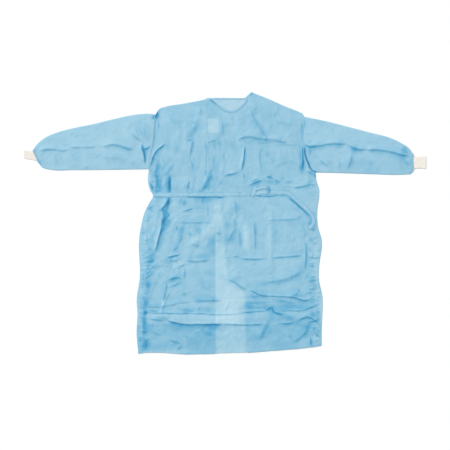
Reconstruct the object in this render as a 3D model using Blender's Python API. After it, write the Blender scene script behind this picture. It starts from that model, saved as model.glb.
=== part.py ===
"""Surgical gown laid flat on its back, front up: nonwoven panels, knit cuffs and a tied belt.

Frame: origin on the floor under the middle of the laid gown, +X towards its right sleeve,
+Y towards the neck, +Z up. Sizes below are in millimetres, and the meshes are in metres.
"""

import math

import bmesh
import bpy
import numpy as np
from mathutils import Vector
from mathutils.bvhtree import BVHTree

MM = 0.001

# Walls and the gaps between pieces
CLOTH = 1.2
KNIT = 1.5
STRAP = 1.6
GAP = 0.3
LAYER = CLOTH + GAP

# Widths of the narrow pieces
BELT_WIDTH = 20
BINDING_WIDTH = 9
TAB_WIDTH = 49

# Left edge of the body, from the shoulder tip down to the hem
LEFT_SIDE = (
    # name, x, y
    ("shoulder tip", -309, 485),
    ("armhole, upper", -315, 410),
    ("armhole, middle", -321, 349),
    ("armhole, lower", -335, 276),
    ("underarm", -339, 242),
    ("chest", -342, 178),
    ("above the belt", -333, 148),
    ("belt pinch", -319, 124),
    ("below the belt", -336, 94),
    ("high hip", -360, 42),
    ("hip", -375, -20),
    ("seat", -383, -68),
    ("thigh", -381, -240),
    ("knee", -396, -350),
    ("calf", -392, -385),
    ("shin", -396, -490),
    ("hem corner", -388, -579),
)

# Right edge of the body, from the shoulder tip down to the hem
RIGHT_SIDE = (
    # name, x, y
    ("shoulder tip", 352, 475),
    ("armhole, upper", 349, 407),
    ("armhole, middle", 346, 372),
    ("armhole, lower", 355, 305),
    ("armhole, foot", 374, 248),
    ("underarm", 396, 226),
    ("chest", 402, 200),
    ("waist", 418, 146),
    ("belt", 418, 120),
    ("high hip", 410, 60),
    ("hip", 410, -15),
    ("seat", 426, -72),
    ("thigh", 414, -200),
    ("above the knee", 414, -250),
    ("knee", 430, -322),
    ("shin", 427, -470),
    ("hem corner", 427, -541),
)

LEFT_SHOULDER = (
    # name, x, y
    ("shoulder tip", -309, 485),
    ("shoulder end", -291, 510),
    ("shoulder bend", -262, 520),
    ("shoulder middle", -184, 533),
    ("shoulder, neck side", -92, 551),
    ("neck point", -65, 557),
)
FRONT_NECKLINE = (
    # name, x, y
    ("left slope", -38, 533),
    ("left foot", -10, 510),
    ("turn", 4, 496),
    ("lowest point", 27, 490),
    ("right foot", 52, 499),
    ("right slope", 74, 520),
    ("right end", 97, 539),
)
RIGHT_SHOULDER = (
    # name, x, y
    ("neck corner", 104, 558),
    ("neck point", 118, 581),
    ("shoulder, neck side", 130, 576),
    ("shoulder middle", 243, 534),
    ("shoulder end", 341, 489),
    ("shoulder tip", 352, 475),
)
HEM = (
    # name, x, y
    ("left corner", -388, -579),
    ("left rise", -360, -572),
    ("left belly", -167, -581),
    ("middle", -42, -577),
    ("right middle", 102, -575),
    ("right rise", 227, -563),
    ("right end", 378, -554),
    ("right corner", 427, -541),
)

# Free edges of the two back panels, which cross at the waist
BACK_OPENING = (
    # name, y, edge of the left panel, edge of the right panel
    ("neck", 558, -11, -84),
    ("shoulder blades", 380, -13, -80),
    ("waist", 122, -27, -27),
    ("hip", -20, -38, 0),
    ("seat", -95, -42, 14),
    ("knee", -331, -42, 84),
    ("shin", -440, -42, 87),
    ("hem", -576, -42, 102),
)

LEFT_SLEEVE_TOP = (
    # name, x, y
    ("armhole", -309, 482),
    ("sleeve head", -337, 488),
    ("upper arm", -381, 486),
    ("above the elbow", -509, 461),
    ("elbow", -594, 440),
    ("forearm", -679, 423),
    ("lower arm", -743, 406),
    ("above the wrist", -794, 385),
    ("taper", -832, 357),
    ("wrist", -856, 325),
)
LEFT_SLEEVE_FOOT = (
    # name, x, y
    ("underarm", -339, 242),
    ("upper arm", -458, 240),
    ("forearm", -676, 238),
    ("above the wrist", -774, 239),
    ("taper", -812, 249),
    ("wrist", -832, 273),
)
LEFT_WRIST = (
    # name, x, y
    ("top", -856, 325),
    ("middle", -843, 297),
    ("foot", -832, 273),
)
RIGHT_SLEEVE_TOP = (
    # name, x, y
    ("armhole", 352, 473),
    ("upper arm", 453, 454),
    ("above the elbow", 532, 434),
    ("forearm", 651, 403),
    ("lower arm", 731, 382),
    ("above the wrist", 783, 358),
    ("taper", 822, 331),
    ("wrist", 833, 314),
)
RIGHT_SLEEVE_FOOT = (
    # name, x, y
    ("underarm", 396, 226),
    ("upper arm", 467, 221),
    ("forearm", 650, 220),
    ("above the wrist", 779, 217),
    ("wrist", 824, 219),
)
RIGHT_WRIST = (
    # name, x, y
    ("top", 833, 314),
    ("upper lobe", 838, 303),
    ("cuff middle", 838, 270),
    ("lower lobe", 836, 232),
    ("foot", 824, 219),
)

# Outer ends of the knit cuffs, and how far each cuff stops short of the wrist's two ends
CUFFS = (
    # name, outer x, outer top y, outer foot y, inner top y, inner foot y
    ("left", -894, 327, 290, 323, 279),
    ("right", 894, 300, 243, 300, 243),
)

# Folds that stand up from the cloth. The line runs from (x0, y0) to (x1, y1) and bows to its
# left by bow. lean narrows the side to the right of the line, 0 for an even ridge.
FRONT_FOLDS = (
    # name, x0, y0, x1, y1, bow, width, rise, lean
    ("left waist pleat, lower", -324, -165, -274, -5, 5, 20, 7, 0.5),
    ("left waist pleat, upper", -276, -15, -258, 190, -4, 19, 8, 0.5),
    ("tuck band", -347, -403, 414, -398, -22, 25, 6.5, 0.45),
    ("left fold over the tuck", -351, -352, -42, -326, 4, 15, 5, 0.5),
    ("right fold over the tuck", 205, -352, 410, -354, -8, 13, 5, 0.4),
    ("wandering fold at right", 102, -288, 390, -310, -10, 15, 6, 0.4),
    ("right thigh swell", 133, -265, 352, -200, -8, 34, 4, 0),
    ("left thigh ridge", -285, -385, -262, -262, -10, 14, 5, 0.2),
    ("left side gathers", -368, -158, -318, -212, 6, 14, 5, 0.3),
    ("left edge ridge", -358, -560, -372, -330, 0, 13, 4, 0.3),
    ("left chest fold", -328, 270, -262, 360, 8, 20, 5, 0.3),
    ("left underarm fold", -318, 196, -312, 278, 0, 16, 5, 0.4),
    ("left chest ridge", -162, 296, -128, 445, 8, 24, 4, 0.3),
    ("middle chest ridge", 66, 190, 82, 352, 4, 18, 4, 0.4),
    ("neck fold", 105, 516, 181, 385, -5, 18, 4, 0.2),
    ("belly ridge", 94, -136, 98, 20, 0, 22, 5, 0.4),
    ("waist ridge", 38, -100, 44, 96, 4, 17, 4, 0.4),
    ("right side crease", 318, 164, 394, 176, 3, 12, 4, 0.4),
    ("right armhole fold", 330, 236, 332, 352, 0, 13, 5, 0.3),
    ("right side gathers, upper", 352, -262, 412, -248, 0, 13, 4, 0.3),
    ("right side gathers, lower", 358, -476, 420, -452, 0, 13, 4, 0.3),
    ("left hem crease", -254, -503, -180, -534, 0, 14, 4, 0.3),
    ("middle hem crease", 150, -520, 198, -425, 0, 15, 4, 0.3),
    ("right hem crease", 290, -528, 368, -455, 0, 15, 4, 0.3),
    ("belly crease, upper", -262, -146, -186, -128, 0, 13, 4, 0.4),
    ("belly crease, lower", -182, -155, -52, -162, 0, 13, 3, 0.4),
)
LEFT_SLEEVE_FOLDS = (
    # name, x0, y0, x1, y1, bow, width, rise, lean
    ("forearm crease", -832, 327, -712, 330, 4, 14, 4, 0.5),
    ("elbow crease", -676, 344, -606, 346, 0, 14, 4, 0.5),
    ("upper arm crease", -536, 350, -400, 334, 8, 16, 5, 0.5),
    ("sleeve head gather", -426, 416, -366, 374, 0, 14, 4, 0.3),
    ("armhole fold", -360, 256, -367, 358, 0, 14, 5, 0.4),
    ("upper edge ridge", -780, 372, -560, 432, 0, 18, 3, 0.2),
)
RIGHT_SLEEVE_FOLDS = (
    # name, x0, y0, x1, y1, bow, width, rise, lean
    ("upper arm crease", 362, 350, 556, 362, -3, 15, 5, 0.5),
    ("elbow crease", 530, 360, 640, 330, 3, 15, 4, 0.5),
    ("forearm crease", 610, 336, 826, 308, 4, 14, 5, 0.5),
    ("elbow fold", 540, 232, 562, 326, 5, 15, 4, 0.3),
    ("underarm fold", 412, 294, 470, 250, 0, 15, 4, 0.3),
    ("upper edge ridge", 470, 420, 700, 366, 0, 18, 3, 0.2),
)

# Broad soft mounds of the front, where air lies under the cloth
SWELLS = (
    # name, x, y, half length along x, half length along y, rise
    ("left chest", -190, 380, 110, 120, 2.2),
    ("right chest", 205, 370, 120, 120, 2.4),
    ("belly", 10, 0, 250, 110, 1.6),
    ("left hip", -270, -90, 100, 130, 2.2),
    ("right hip", 290, -90, 100, 140, 2.4),
    ("thighs", 0, -250, 300, 80, 1.6),
    ("above the hem", 0, -505, 320, 55, 1.8),
)

# Rows of the front's grid, by the height of each band on the left side
FRONT_BANDS = (
    # name, from y, to y, steps
    ("yoke", 485, 150, 11),
    ("belt", 150, 100, 3),
    ("skirt", 100, -315, 13),
    ("tuck", -315, -485, 12),
    ("hem", -485, -579, 4),
)
FRONT_COLUMNS = 32
BACK_COLUMNS = 12
BACK_ROWS = 17

# Flattened tubes of the sleeves and cuffs
SLEEVE_STATIONS = 22
SLEEVE_OVER = 15
SLEEVE_UNDER = 6
SLEEVE_EDGE = 3.0
SLEEVE_CROWN = 3.2
CUFF_STATIONS = 5
CUFF_RIBS = 12
CUFF_RIB_RISE = 0.5
CUFF_EDGE = 3.8
EDGE_ROUND = 2.0

CROWN = 2.2
CROWN_REACH = 0.07
ARMHOLE_LIFT = 1.6
SIDE_HOLD = 0.4
BELT_HOLD = 0.85
BELT_HOLD_REACH = 20

# The right back panel stays lifted for LAP_FLAT past the left one's edge, then slopes down
LAP_FLAT = 40
LAP_SLOPE = 40
LAP_MARGIN = 34

BELT_LEFT_PATH = (
    # name, x, y
    ("left side", -316, 125),
    ("sag", -180, 127),
    ("front", 0, 129),
    ("knot", 101, 128),
)
BELT_RIGHT_PATH = (
    # name, x, y
    ("knot", 203, 143),
    ("turn", 268, 136),
    ("slope", 300, 113),
    ("lower slope", 352, 62),
    ("hook", 384, 26),
    ("hook foot", 386, 2),
    ("free end", 368, -22),
)
BELT_STEP = 10
BELT_EASE = 30
KNOT_CENTRE = (152, 143)
KNOT_HALF = (48, 24)
KNOT_RISE = 10
KNOT_EDGE = 2.5
KNOT_REACH = 7
KNOT_WRAPS = (
    # name, x0, y0, x1, y1, bow, width, rise, lean
    ("wrap over the middle", 132, 118, 160, 170, 0, 12, 5, 0.4),
    ("right loop", 150, 124, 190, 146, -8, 9, 4, 0.3),
    ("left loop", 112, 138, 142, 158, 6, 9, 4, 0.3),
)
BACK_BINDING_PATH = (("left", -46, 552), ("middle", 22, 553), ("right", 86, 552))
TAB_PATH = (("top", -51, 467), ("foot", -51, 405))

MATERIALS = {
    # name: red, green, blue, roughness
    "nonwoven": (0.30, 0.56, 0.74, 0.75),
    "belt": (0.25, 0.52, 0.70, 0.75),
    "knit": (0.90, 0.85, 0.77, 0.9),
    "tab": (0.44, 0.66, 0.80, 0.8),
}


def smooth(t):
    t = np.clip(t, 0, 1)
    return t * t * (3 - 2 * t)


def edge(rows, along):
    """An edge curve through named rows: fractions 0 to 1, even along x (0) or y (1)."""
    points = np.array([row[1:] for row in rows], float)
    run = points[:, along]
    fractions = (run - run[0]) / (run[-1] - run[0])

    def at(t):
        return np.stack([np.interp(t, fractions, points[:, i]) for i in (0, 1)], -1)

    return at


def cut_edge(rows, start, end, along, shift=0.0):
    """The stretch of an edge between two heights or places, moved along x by shift."""
    points = np.array([row[1:] for row in rows], float)
    order = np.argsort(points[:, along])
    run, other = points[order, along], points[order, 1 - along]

    def at(t):
        here = start + (end - start) * np.asarray(t, float)
        pair = [np.interp(here, run, other), here]
        x, y = pair if along == 1 else pair[::-1]
        return np.stack([x + shift, y], -1)

    return at


def spread(us, vs, top, foot, left, right):
    """Grid of plan points between a panel's four edges, a row for each v from top to foot."""
    u, v = np.meshgrid(us, vs)
    t, f, l, r = top(u), foot(u), left(v), right(v)
    u, v = u[..., None], v[..., None]
    corners = (1 - u) * (1 - v) * top(0) + u * (1 - v) * top(1)
    corners = corners + (1 - u) * v * foot(0) + u * v * foot(1)
    return (1 - v) * t + v * f + (1 - u) * l + u * r - corners


def snapped(count, marks):
    """Even fractions from 0 to 1, the nearest of them moved onto the marks."""
    values = np.linspace(0, 1, count)
    for mark in marks:
        values[np.argmin(np.abs(values - mark))] = mark
    return np.sort(values)


def fold_height(x, y, folds):
    """Height that the folds add at plan points."""
    height = np.zeros_like(x)
    for _, x0, y0, x1, y1, bow, width, rise, lean in folds:
        length = math.hypot(x1 - x0, y1 - y0)
        dx, dy = (x1 - x0) / length, (y1 - y0) / length
        s = ((x - x0) * dx + (y - y0) * dy) / length
        inside = np.clip(s, 0, 1)
        across = (y - y0) * dx - (x - x0) * dy - 4 * bow * inside * (1 - inside)
        reach = np.where(across > 0, width, width * (1 - lean))
        ends = smooth(s / 0.2) * smooth((1 - s) / 0.2)
        height += rise * ends * np.exp(-((across / reach) ** 2))
    return height


def swell_height(x, y):
    height = np.zeros_like(x)
    for _, cx, cy, half_x, half_y, rise in SWELLS:
        height += rise * np.exp(-(((x - cx) / half_x) ** 2) - ((y - cy) / half_y) ** 2)
    return height


def opening_edges(y):
    """Free edges of the left and right back panels at a height."""
    rows = np.array([row[1:] for row in BACK_OPENING], float)[::-1]
    return np.interp(y, rows[:, 0], rows[:, 1]), np.interp(y, rows[:, 0], rows[:, 2])


def lap(x, y):
    """How far the right back panel is lifted onto the left one, 0 to 1."""
    left_free, _ = opening_edges(y)
    return 1 - smooth((x - left_free - LAP_FLAT) / LAP_SLOPE)


def layers_under_front(x, y):
    """Height of the back panels and the tab under the front, with the gaps between them."""
    _, right_free = opening_edges(y)
    over_lap = lap(x - LAP_MARGIN, y) * smooth((x - right_free + 2 * LAP_MARGIN) / LAP_MARGIN)
    over_lap = over_lap * smooth((y - 20) / 60)
    (_, tab_x, tab_top), (_, _, tab_foot) = TAB_PATH
    past_x = np.abs(x - tab_x) - TAB_WIDTH / 2 - LAP_MARGIN
    past_y = np.abs(y - (tab_top + tab_foot) / 2) - (tab_top - tab_foot) / 2 - LAP_MARGIN
    over_tab = (1 - smooth(past_x / LAP_MARGIN)) * (1 - smooth(past_y / LAP_MARGIN))
    return LAYER * (1 + over_lap + over_tab)


def material(name):
    found = bpy.data.materials.get(name)
    if found:
        return found
    red, green, blue, roughness = MATERIALS[name]
    made = bpy.data.materials.new(name)
    made.use_nodes = True
    shader = made.node_tree.nodes["Principled BSDF"]
    shader.inputs["Base Color"].default_value = (red, green, blue, 1)
    shader.inputs["Roughness"].default_value = roughness
    shader.inputs["Metallic"].default_value = 0
    return made


def add_object(name, mesh, finish):
    mesh.materials.append(material(finish))
    mesh.shade_smooth()
    mesh.set_sharp_from_angle(angle=math.radians(50))
    made = bpy.data.objects.new(name, mesh)
    bpy.context.scene.collection.objects.link(made)
    return made


def grid_faces(rows, columns, wrap=False):
    """Quads of a grid of points numbered row by row, closed round its columns for a tube."""
    steps = columns if wrap else columns - 1
    return [
        (
            r * columns + c,
            (r + 1) * columns + c,
            (r + 1) * columns + (c + 1) % columns,
            r * columns + (c + 1) % columns,
        )
        for r in range(rows - 1)
        for c in range(steps)
    ]


def sheet(name, points, wall, finish):
    """A panel of cloth whose underside passes through a grid of points."""
    rows, columns = points.shape[:2]
    mesh = bpy.data.meshes.new(name)
    mesh.from_pydata((points.reshape(-1, 3) * MM).tolist(), [], grid_faces(rows, columns))
    made = add_object(name, mesh, finish)
    thick = made.modifiers.new("wall", "SOLIDIFY")
    thick.thickness = wall * MM
    thick.offset = 1
    thick.use_even_offset = True
    return made


def closed_skin(name, outer, inner, wrap, finish):
    """A solid between an outer and an inner grid of points, closed at their rims."""
    rows, columns = outer.shape[:2]
    count = rows * columns
    mesh = bpy.data.meshes.new(name)
    points = np.concatenate([outer.reshape(-1, 3), inner.reshape(-1, 3)]) * MM
    faces = grid_faces(rows, columns, wrap)
    faces += [tuple(count + i for i in reversed(face)) for face in faces]
    rims = [[(0, c) for c in range(columns)], [(rows - 1, c) for c in range(columns)]]
    if wrap:
        rims = [rim + rim[:1] for rim in rims]
    else:
        rims += [[(r, 0) for r in range(rows)], [(r, columns - 1) for r in range(rows)]]
    for rim in rims:
        line = [r * columns + c for r, c in rim]
        faces += [(a, b, count + b, count + a) for a, b in zip(line, line[1:])]
    mesh.from_pydata(points.tolist(), [], faces)
    shell = bmesh.new()
    shell.from_mesh(mesh)
    bmesh.ops.recalc_face_normals(shell, faces=shell.faces)
    shell.to_mesh(mesh)
    shell.free()
    return add_object(name, mesh, finish)


def build_front():
    top = LEFT_SHOULDER + FRONT_NECKLINE + RIGHT_SHOULDER
    left_y, right_y = top[0][2], HEM[0][2]
    heights = [left_y]
    for _, start, end, steps in FRONT_BANDS:
        heights += list(np.linspace(start, end, steps + 1)[1:])
    vs = (left_y - np.array(heights)) / (left_y - right_y)
    us = snapped(FRONT_COLUMNS, marks_of(top[4:-2], top))
    plan = spread(us, vs, edge(top, 0), edge(HEM, 0), edge(LEFT_SIDE, 1), edge(RIGHT_SIDE, 1))
    x, y = plan[..., 0], plan[..., 1]
    u, v = np.meshgrid(us, vs)
    from_side = smooth(np.minimum(u, 1 - u) / CROWN_REACH)
    from_top = smooth(v / CROWN_REACH)
    from_hem = 0.4 + 0.6 * smooth((1 - v) / CROWN_REACH)
    rise = (CROWN + swell_height(x, y)) * from_side * from_top * from_hem
    hold = (SIDE_HOLD + (1 - SIDE_HOLD) * from_side) * from_top
    from_belt = (y - BELT_LEFT_PATH[0][2]) / BELT_HOLD_REACH
    hold *= 1 - BELT_HOLD * np.exp(-(from_belt**2))
    armhole = np.sin(np.pi * np.clip((left_y - y) / (left_y - LEFT_SIDE[4][2]), 0, 1))
    rise += ARMHOLE_LIFT * armhole * (1 - from_side)
    z = layers_under_front(x, y) + rise + hold * fold_height(x, y, FRONT_FOLDS)
    return sheet("body_front", np.dstack([plan, z]), CLOTH, "nonwoven")


def marks_of(rows, whole):
    """Fractions along x of some rows of a whole top edge."""
    return [(row[1] - whole[0][1]) / (whole[-1][1] - whole[0][1]) for row in rows]


def build_back(name, top, foot, left, right, lifted):
    us = snapped(BACK_COLUMNS, marks_of(top[1:-1], top))
    plan = spread(us, np.linspace(0, 1, BACK_ROWS), edge(top, 0), foot, left, right)
    x, y = plan[..., 0], plan[..., 1]
    z = LAYER * lap(x, y) if lifted else np.zeros_like(x)
    return sheet(name, np.dstack([plan, z]), CLOTH, "nonwoven")


def build_backs():
    opening = [row[1:] for row in BACK_OPENING]
    left_free = [("", left_x, y) for y, left_x, _ in opening]
    right_free = [("", right_x, y) for y, _, right_x in opening]
    left_top = LEFT_SHOULDER + (("back neck", *left_free[0][1:]),)
    left_foot = cut_edge(HEM, HEM[0][1], left_free[-1][1], 0)
    left_free[-1] = ("", *left_foot(1))
    build_back(
        "back_left", left_top, left_foot,
        edge(LEFT_SIDE, 1), edge(left_free, 1), False,
    )
    right_top = (("back neck", *right_free[0][1:]),) + RIGHT_SHOULDER
    right_foot = cut_edge(HEM, right_free[-1][1], HEM[-1][1], 0)
    right_free[-1] = ("", *right_foot(0))
    return build_back(
        "back_right", right_top, right_foot,
        edge(right_free, 1), edge(RIGHT_SIDE, 1), True,
    )


def flat_rings(us, edges, over, under, height, inset):
    """Rings of a flattened tube, flat below and shaped by height above, inset from its outside."""
    rings = []
    for u in us:
        ends = spread([u], [0, 1], *edges)[:, 0]
        width = np.linalg.norm(ends[1] - ends[0])
        tip, flat = inset / width, (EDGE_ROUND + inset) / width
        across_over = np.linspace(flat, 1 - flat, over)
        across_under = np.linspace(1 - flat, flat, under)
        across = np.concatenate([[tip], across_over, [1 - tip], across_under])
        plan = spread([u], across, *edges)[:, 0]
        z = np.full(len(across), float(inset))
        top = height(u, across, plan[:, 0], plan[:, 1], inset)
        z[1:over + 1] = top[1:over + 1]
        z[[0, over + 1]] = (top[[0, over + 1]] + inset) / 2
        rings.append(np.column_stack([plan, z]))
    return np.array(rings)


def build_sleeve(name, side_rows, side_shift, top, foot, wrist, folds):
    armhole = cut_edge(side_rows, top[0][2], foot[0][2], 1, side_shift)
    top = (("armhole", *armhole(0)),) + top[1:]
    foot = (("underarm", *armhole(1)),) + foot[1:]
    edges = (edge(top, 0), edge(foot, 0), armhole, edge(wrist, 1))

    def height(u, v, x, y, inset):
        crown = np.sin(np.pi * np.clip(v, 0, 1)) ** 0.7
        crown = crown * (SLEEVE_CROWN * (1 - 0.35 * u) + 0.8 * np.sin(9 * u) * u * (1 - u))
        hold = smooth(np.minimum(v, 1 - v) / 0.12) * smooth(u / 0.03) * smooth((1 - u) / 0.05)
        return SLEEVE_EDGE - inset + crown + hold * fold_height(x, y, folds)

    us = np.linspace(0, 1, SLEEVE_STATIONS)
    outer, inner = (
        flat_rings(us, edges, SLEEVE_OVER, SLEEVE_UNDER, height, inset) for inset in (0, CLOTH)
    )
    closed_skin(name, outer, inner, True, "nonwoven")


def build_cuff(row, wrist):
    name, outer_x, outer_top, outer_foot, inner_top, inner_foot = row
    outward = math.copysign(1, outer_x)
    inner_end = cut_edge(wrist, inner_top, inner_foot, 1, outward * GAP)
    outer_end = edge((("top", outer_x, outer_top), ("foot", outer_x, outer_foot)), 1)
    top = edge((("wrist", *inner_end(0)), ("end", *outer_end(0))), 0)
    foot = edge((("wrist", *inner_end(1)), ("end", *outer_end(1))), 0)
    edges = (top, foot, inner_end, outer_end)

    def height(u, v, x, y, inset):
        rib = CUFF_RIB_RISE * (1 - np.cos(2 * np.pi * CUFF_RIBS * v)) / 2
        crown = 0.8 * np.sin(np.pi * np.clip(v, 0, 1)) + 0.2 * u
        return CUFF_EDGE - inset + crown + np.where(inset > 0, 0, rib)

    us = np.linspace(0, 1, CUFF_STATIONS)
    outer, inner = (
        flat_rings(us, edges, 2 * CUFF_RIBS + 1, 6, height, inset) for inset in (0, KNIT)
    )
    closed_skin(f"cuff_{name}", outer, inner, True, "knit")


def surface_of(carrier):
    bpy.context.view_layer.update()
    return BVHTree.FromObject(carrier, bpy.context.evaluated_depsgraph_get())


def seat_height(surface, x, y, reach):
    """Highest point of a surface near a plan point, in millimetres."""
    found = []
    for dx in np.linspace(-reach, reach, 5):
        for dy in np.linspace(-reach, reach, 5):
            start = Vector(((x + dx) * MM, (y + dy) * MM, 1))
            hit = surface.ray_cast(start, Vector((0, 0, -1)))[0]
            if hit is not None:
                found.append(hit.z / MM)
    return max(found)


def path_points(rows, step, ease):
    """Points along a path of named rows, a step apart, its corners eased over a length."""
    points = np.array([row[1:] for row in rows], float)
    lengths = np.concatenate([[0], np.cumsum(np.linalg.norm(np.diff(points, axis=0), axis=1))])
    count = max(2, round(lengths[-1] / step) + 1)
    eased = np.zeros((count, 2))
    shifts = np.linspace(-0.5, 0.5, 9)
    for shift in shifts:
        at = np.linspace(0, lengths[-1], count)
        room = np.minimum(np.minimum(at, lengths[-1] - at) * 2, ease)
        for i in (0, 1):
            eased[:, i] += np.interp(at + shift * room, lengths, points[:, i]) / len(shifts)
    return eased


def strap(name, centre, width, wall, surface, reach, finish):
    """A flat strip along a path, seated on a surface."""
    along = np.gradient(centre, axis=0)
    along /= np.linalg.norm(along, axis=1)[:, None]
    normal = np.stack([-along[:, 1], along[:, 0]], -1)
    plan = np.stack([centre + normal * width * side for side in (-0.5, 0, 0.5)])
    z = [[seat_height(surface, x, y, reach) + GAP for x, y in line] for line in plan]
    points = np.dstack([plan, np.array(z)])[::-1]
    return sheet(name, points, wall, finish)


def build_bindings(front, back_right):
    rows = LEFT_SHOULDER[-1:] + FRONT_NECKLINE + RIGHT_SHOULDER[:1]
    line = path_points(rows, 9, 0)[1:-1]
    along = np.gradient(line, axis=0)
    along /= np.linalg.norm(along, axis=1)[:, None]
    inward = np.stack([along[:, 1], -along[:, 0]], -1)
    centre = line + inward * (BINDING_WIDTH / 2 + 1.5)
    strap("neck_binding_front", centre, BINDING_WIDTH, CLOTH, surface_of(front), 5, "nonwoven")
    behind = surface_of(back_right)
    centre = path_points(BACK_BINDING_PATH, 12, 0)
    strap("neck_binding_back", centre, BINDING_WIDTH, CLOTH, behind, 0, "nonwoven")
    strap("neck_tab", path_points(TAB_PATH, 20, 0), TAB_WIDTH, CLOTH, behind, 0, "tab")


def build_knot(surface):
    spots = np.linspace(-1, 1, 13)
    u, v = np.meshgrid(spots, spots[::-1])
    x = KNOT_CENTRE[0] + KNOT_HALF[0] * u * np.sqrt(1 - v * v / 2)
    y = KNOT_CENTRE[1] + KNOT_HALF[1] * v * np.sqrt(1 - u * u / 2)
    seat = np.vectorize(lambda a, b: seat_height(surface, a, b, KNOT_REACH))(x, y) + GAP
    inside = np.clip((1 - u * u) * (1 - v * v), 0, 1)
    top = seat + KNOT_EDGE + KNOT_RISE * inside ** 0.5 + inside * fold_height(x, y, KNOT_WRAPS)
    closed_skin("belt_knot", np.dstack([x, y, top]), np.dstack([x, y, seat]), False, "belt")


def build_belt(front):
    surface = surface_of(front)
    for name, path in (("belt_left", BELT_LEFT_PATH), ("belt_right", BELT_RIGHT_PATH)):
        centre = path_points(path, BELT_STEP, BELT_EASE)
        strap(name, centre, BELT_WIDTH, STRAP, surface, BELT_STEP, "belt")
    build_knot(surface)


def build_gown():
    for old in list(bpy.data.objects):
        bpy.data.objects.remove(old, do_unlink=True)
    front = build_front()
    back_right = build_backs()
    build_sleeve(
        "sleeve_left", LEFT_SIDE, -GAP, LEFT_SLEEVE_TOP, LEFT_SLEEVE_FOOT,
        LEFT_WRIST, LEFT_SLEEVE_FOLDS,
    )
    build_sleeve(
        "sleeve_right", RIGHT_SIDE, GAP, RIGHT_SLEEVE_TOP, RIGHT_SLEEVE_FOOT,
        RIGHT_WRIST, RIGHT_SLEEVE_FOLDS,
    )
    for row, wrist in zip(CUFFS, (LEFT_WRIST, RIGHT_WRIST)):
        build_cuff(row, wrist)
    build_bindings(front, back_right)
    build_belt(front)


build_gown()
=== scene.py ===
import math

import bpy
import numpy as np
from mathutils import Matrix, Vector
from mathutils.bvhtree import BVHTree


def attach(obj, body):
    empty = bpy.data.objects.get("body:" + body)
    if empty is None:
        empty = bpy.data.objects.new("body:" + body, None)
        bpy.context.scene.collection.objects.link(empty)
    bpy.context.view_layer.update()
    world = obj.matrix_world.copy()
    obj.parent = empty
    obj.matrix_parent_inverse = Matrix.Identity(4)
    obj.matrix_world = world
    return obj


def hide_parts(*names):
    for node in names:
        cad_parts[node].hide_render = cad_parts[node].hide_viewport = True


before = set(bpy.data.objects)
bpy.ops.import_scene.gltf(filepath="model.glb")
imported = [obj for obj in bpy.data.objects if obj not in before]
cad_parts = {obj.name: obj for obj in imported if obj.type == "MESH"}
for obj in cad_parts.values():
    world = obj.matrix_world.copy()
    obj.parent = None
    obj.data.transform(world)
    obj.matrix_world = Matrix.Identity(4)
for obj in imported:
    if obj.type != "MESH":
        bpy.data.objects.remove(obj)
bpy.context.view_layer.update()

# All plan sizes are in millimetres; only the meshes are in metres.
mm = 0.001
print("frame loaded:", len(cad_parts), "nodes")

# Camera, floor and light

studio = {
    "cameraHeight": 3000,
    "viewCentre": (0, -6.7),
    "viewWidth": 2002.5,
    "floorSize": 14000,
    "floorBelow": 0.2,
    "skyLevel": 0.765,
    "sunLevel": 1.85,
    "sunFrom": (-0.62, 0.66, 0.80),
    "sunSoftness": 16,
}


def setUpStudio(s):
    camera = bpy.data.cameras.new("studioCamera")
    camera.sensor_width = 36
    camera.lens = 36 * s["cameraHeight"] / s["viewWidth"]
    camera.clip_end = 100
    holder = bpy.data.objects.new("studioCamera", camera)
    holder.location = (s["viewCentre"][0] * mm, s["viewCentre"][1] * mm, s["cameraHeight"] * mm)
    bpy.context.scene.collection.objects.link(holder)
    bpy.context.scene.camera = holder

    lamp = bpy.data.lights.new("windowLight", "SUN")
    lamp.energy = s["sunLevel"]
    lamp.angle = math.radians(s["sunSoftness"])
    window = bpy.data.objects.new("windowLight", lamp)
    window.rotation_euler = Vector(s["sunFrom"]).to_track_quat("Z", "Y").to_euler()
    bpy.context.scene.collection.objects.link(window)

    world = bpy.data.worlds.new("softBox")
    world.use_nodes = True
    world.node_tree.nodes["Background"].inputs["Color"].default_value = (0.955, 0.975, 0.985, 1)
    world.node_tree.nodes["Background"].inputs["Strength"].default_value = s["skyLevel"]
    bpy.context.scene.world = world
    bpy.context.scene.view_settings.view_transform = "Standard"


setUpStudio(studio)


# Materials

# A socket that takes part in sums, so that a pattern reads as a formula.
class Wire:
    def __init__(self, board, socket):
        self.board = board
        self.socket = socket

    def join(self, operation, first, second):
        return self.board.node("ShaderNodeMath", {"operation": operation}, {0: first, 1: second})

    def __add__(self, other):
        return self.join("ADD", self, other)

    def __radd__(self, other):
        return self.join("ADD", other, self)

    def __sub__(self, other):
        return self.join("SUBTRACT", self, other)

    def __rsub__(self, other):
        return self.join("SUBTRACT", other, self)

    def __mul__(self, other):
        return self.join("MULTIPLY", self, other)

    def __rmul__(self, other):
        return self.join("MULTIPLY", other, self)

    def __abs__(self):
        return self.board.node("ShaderNodeMath", {"operation": "ABSOLUTE"}, {0: self})


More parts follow.
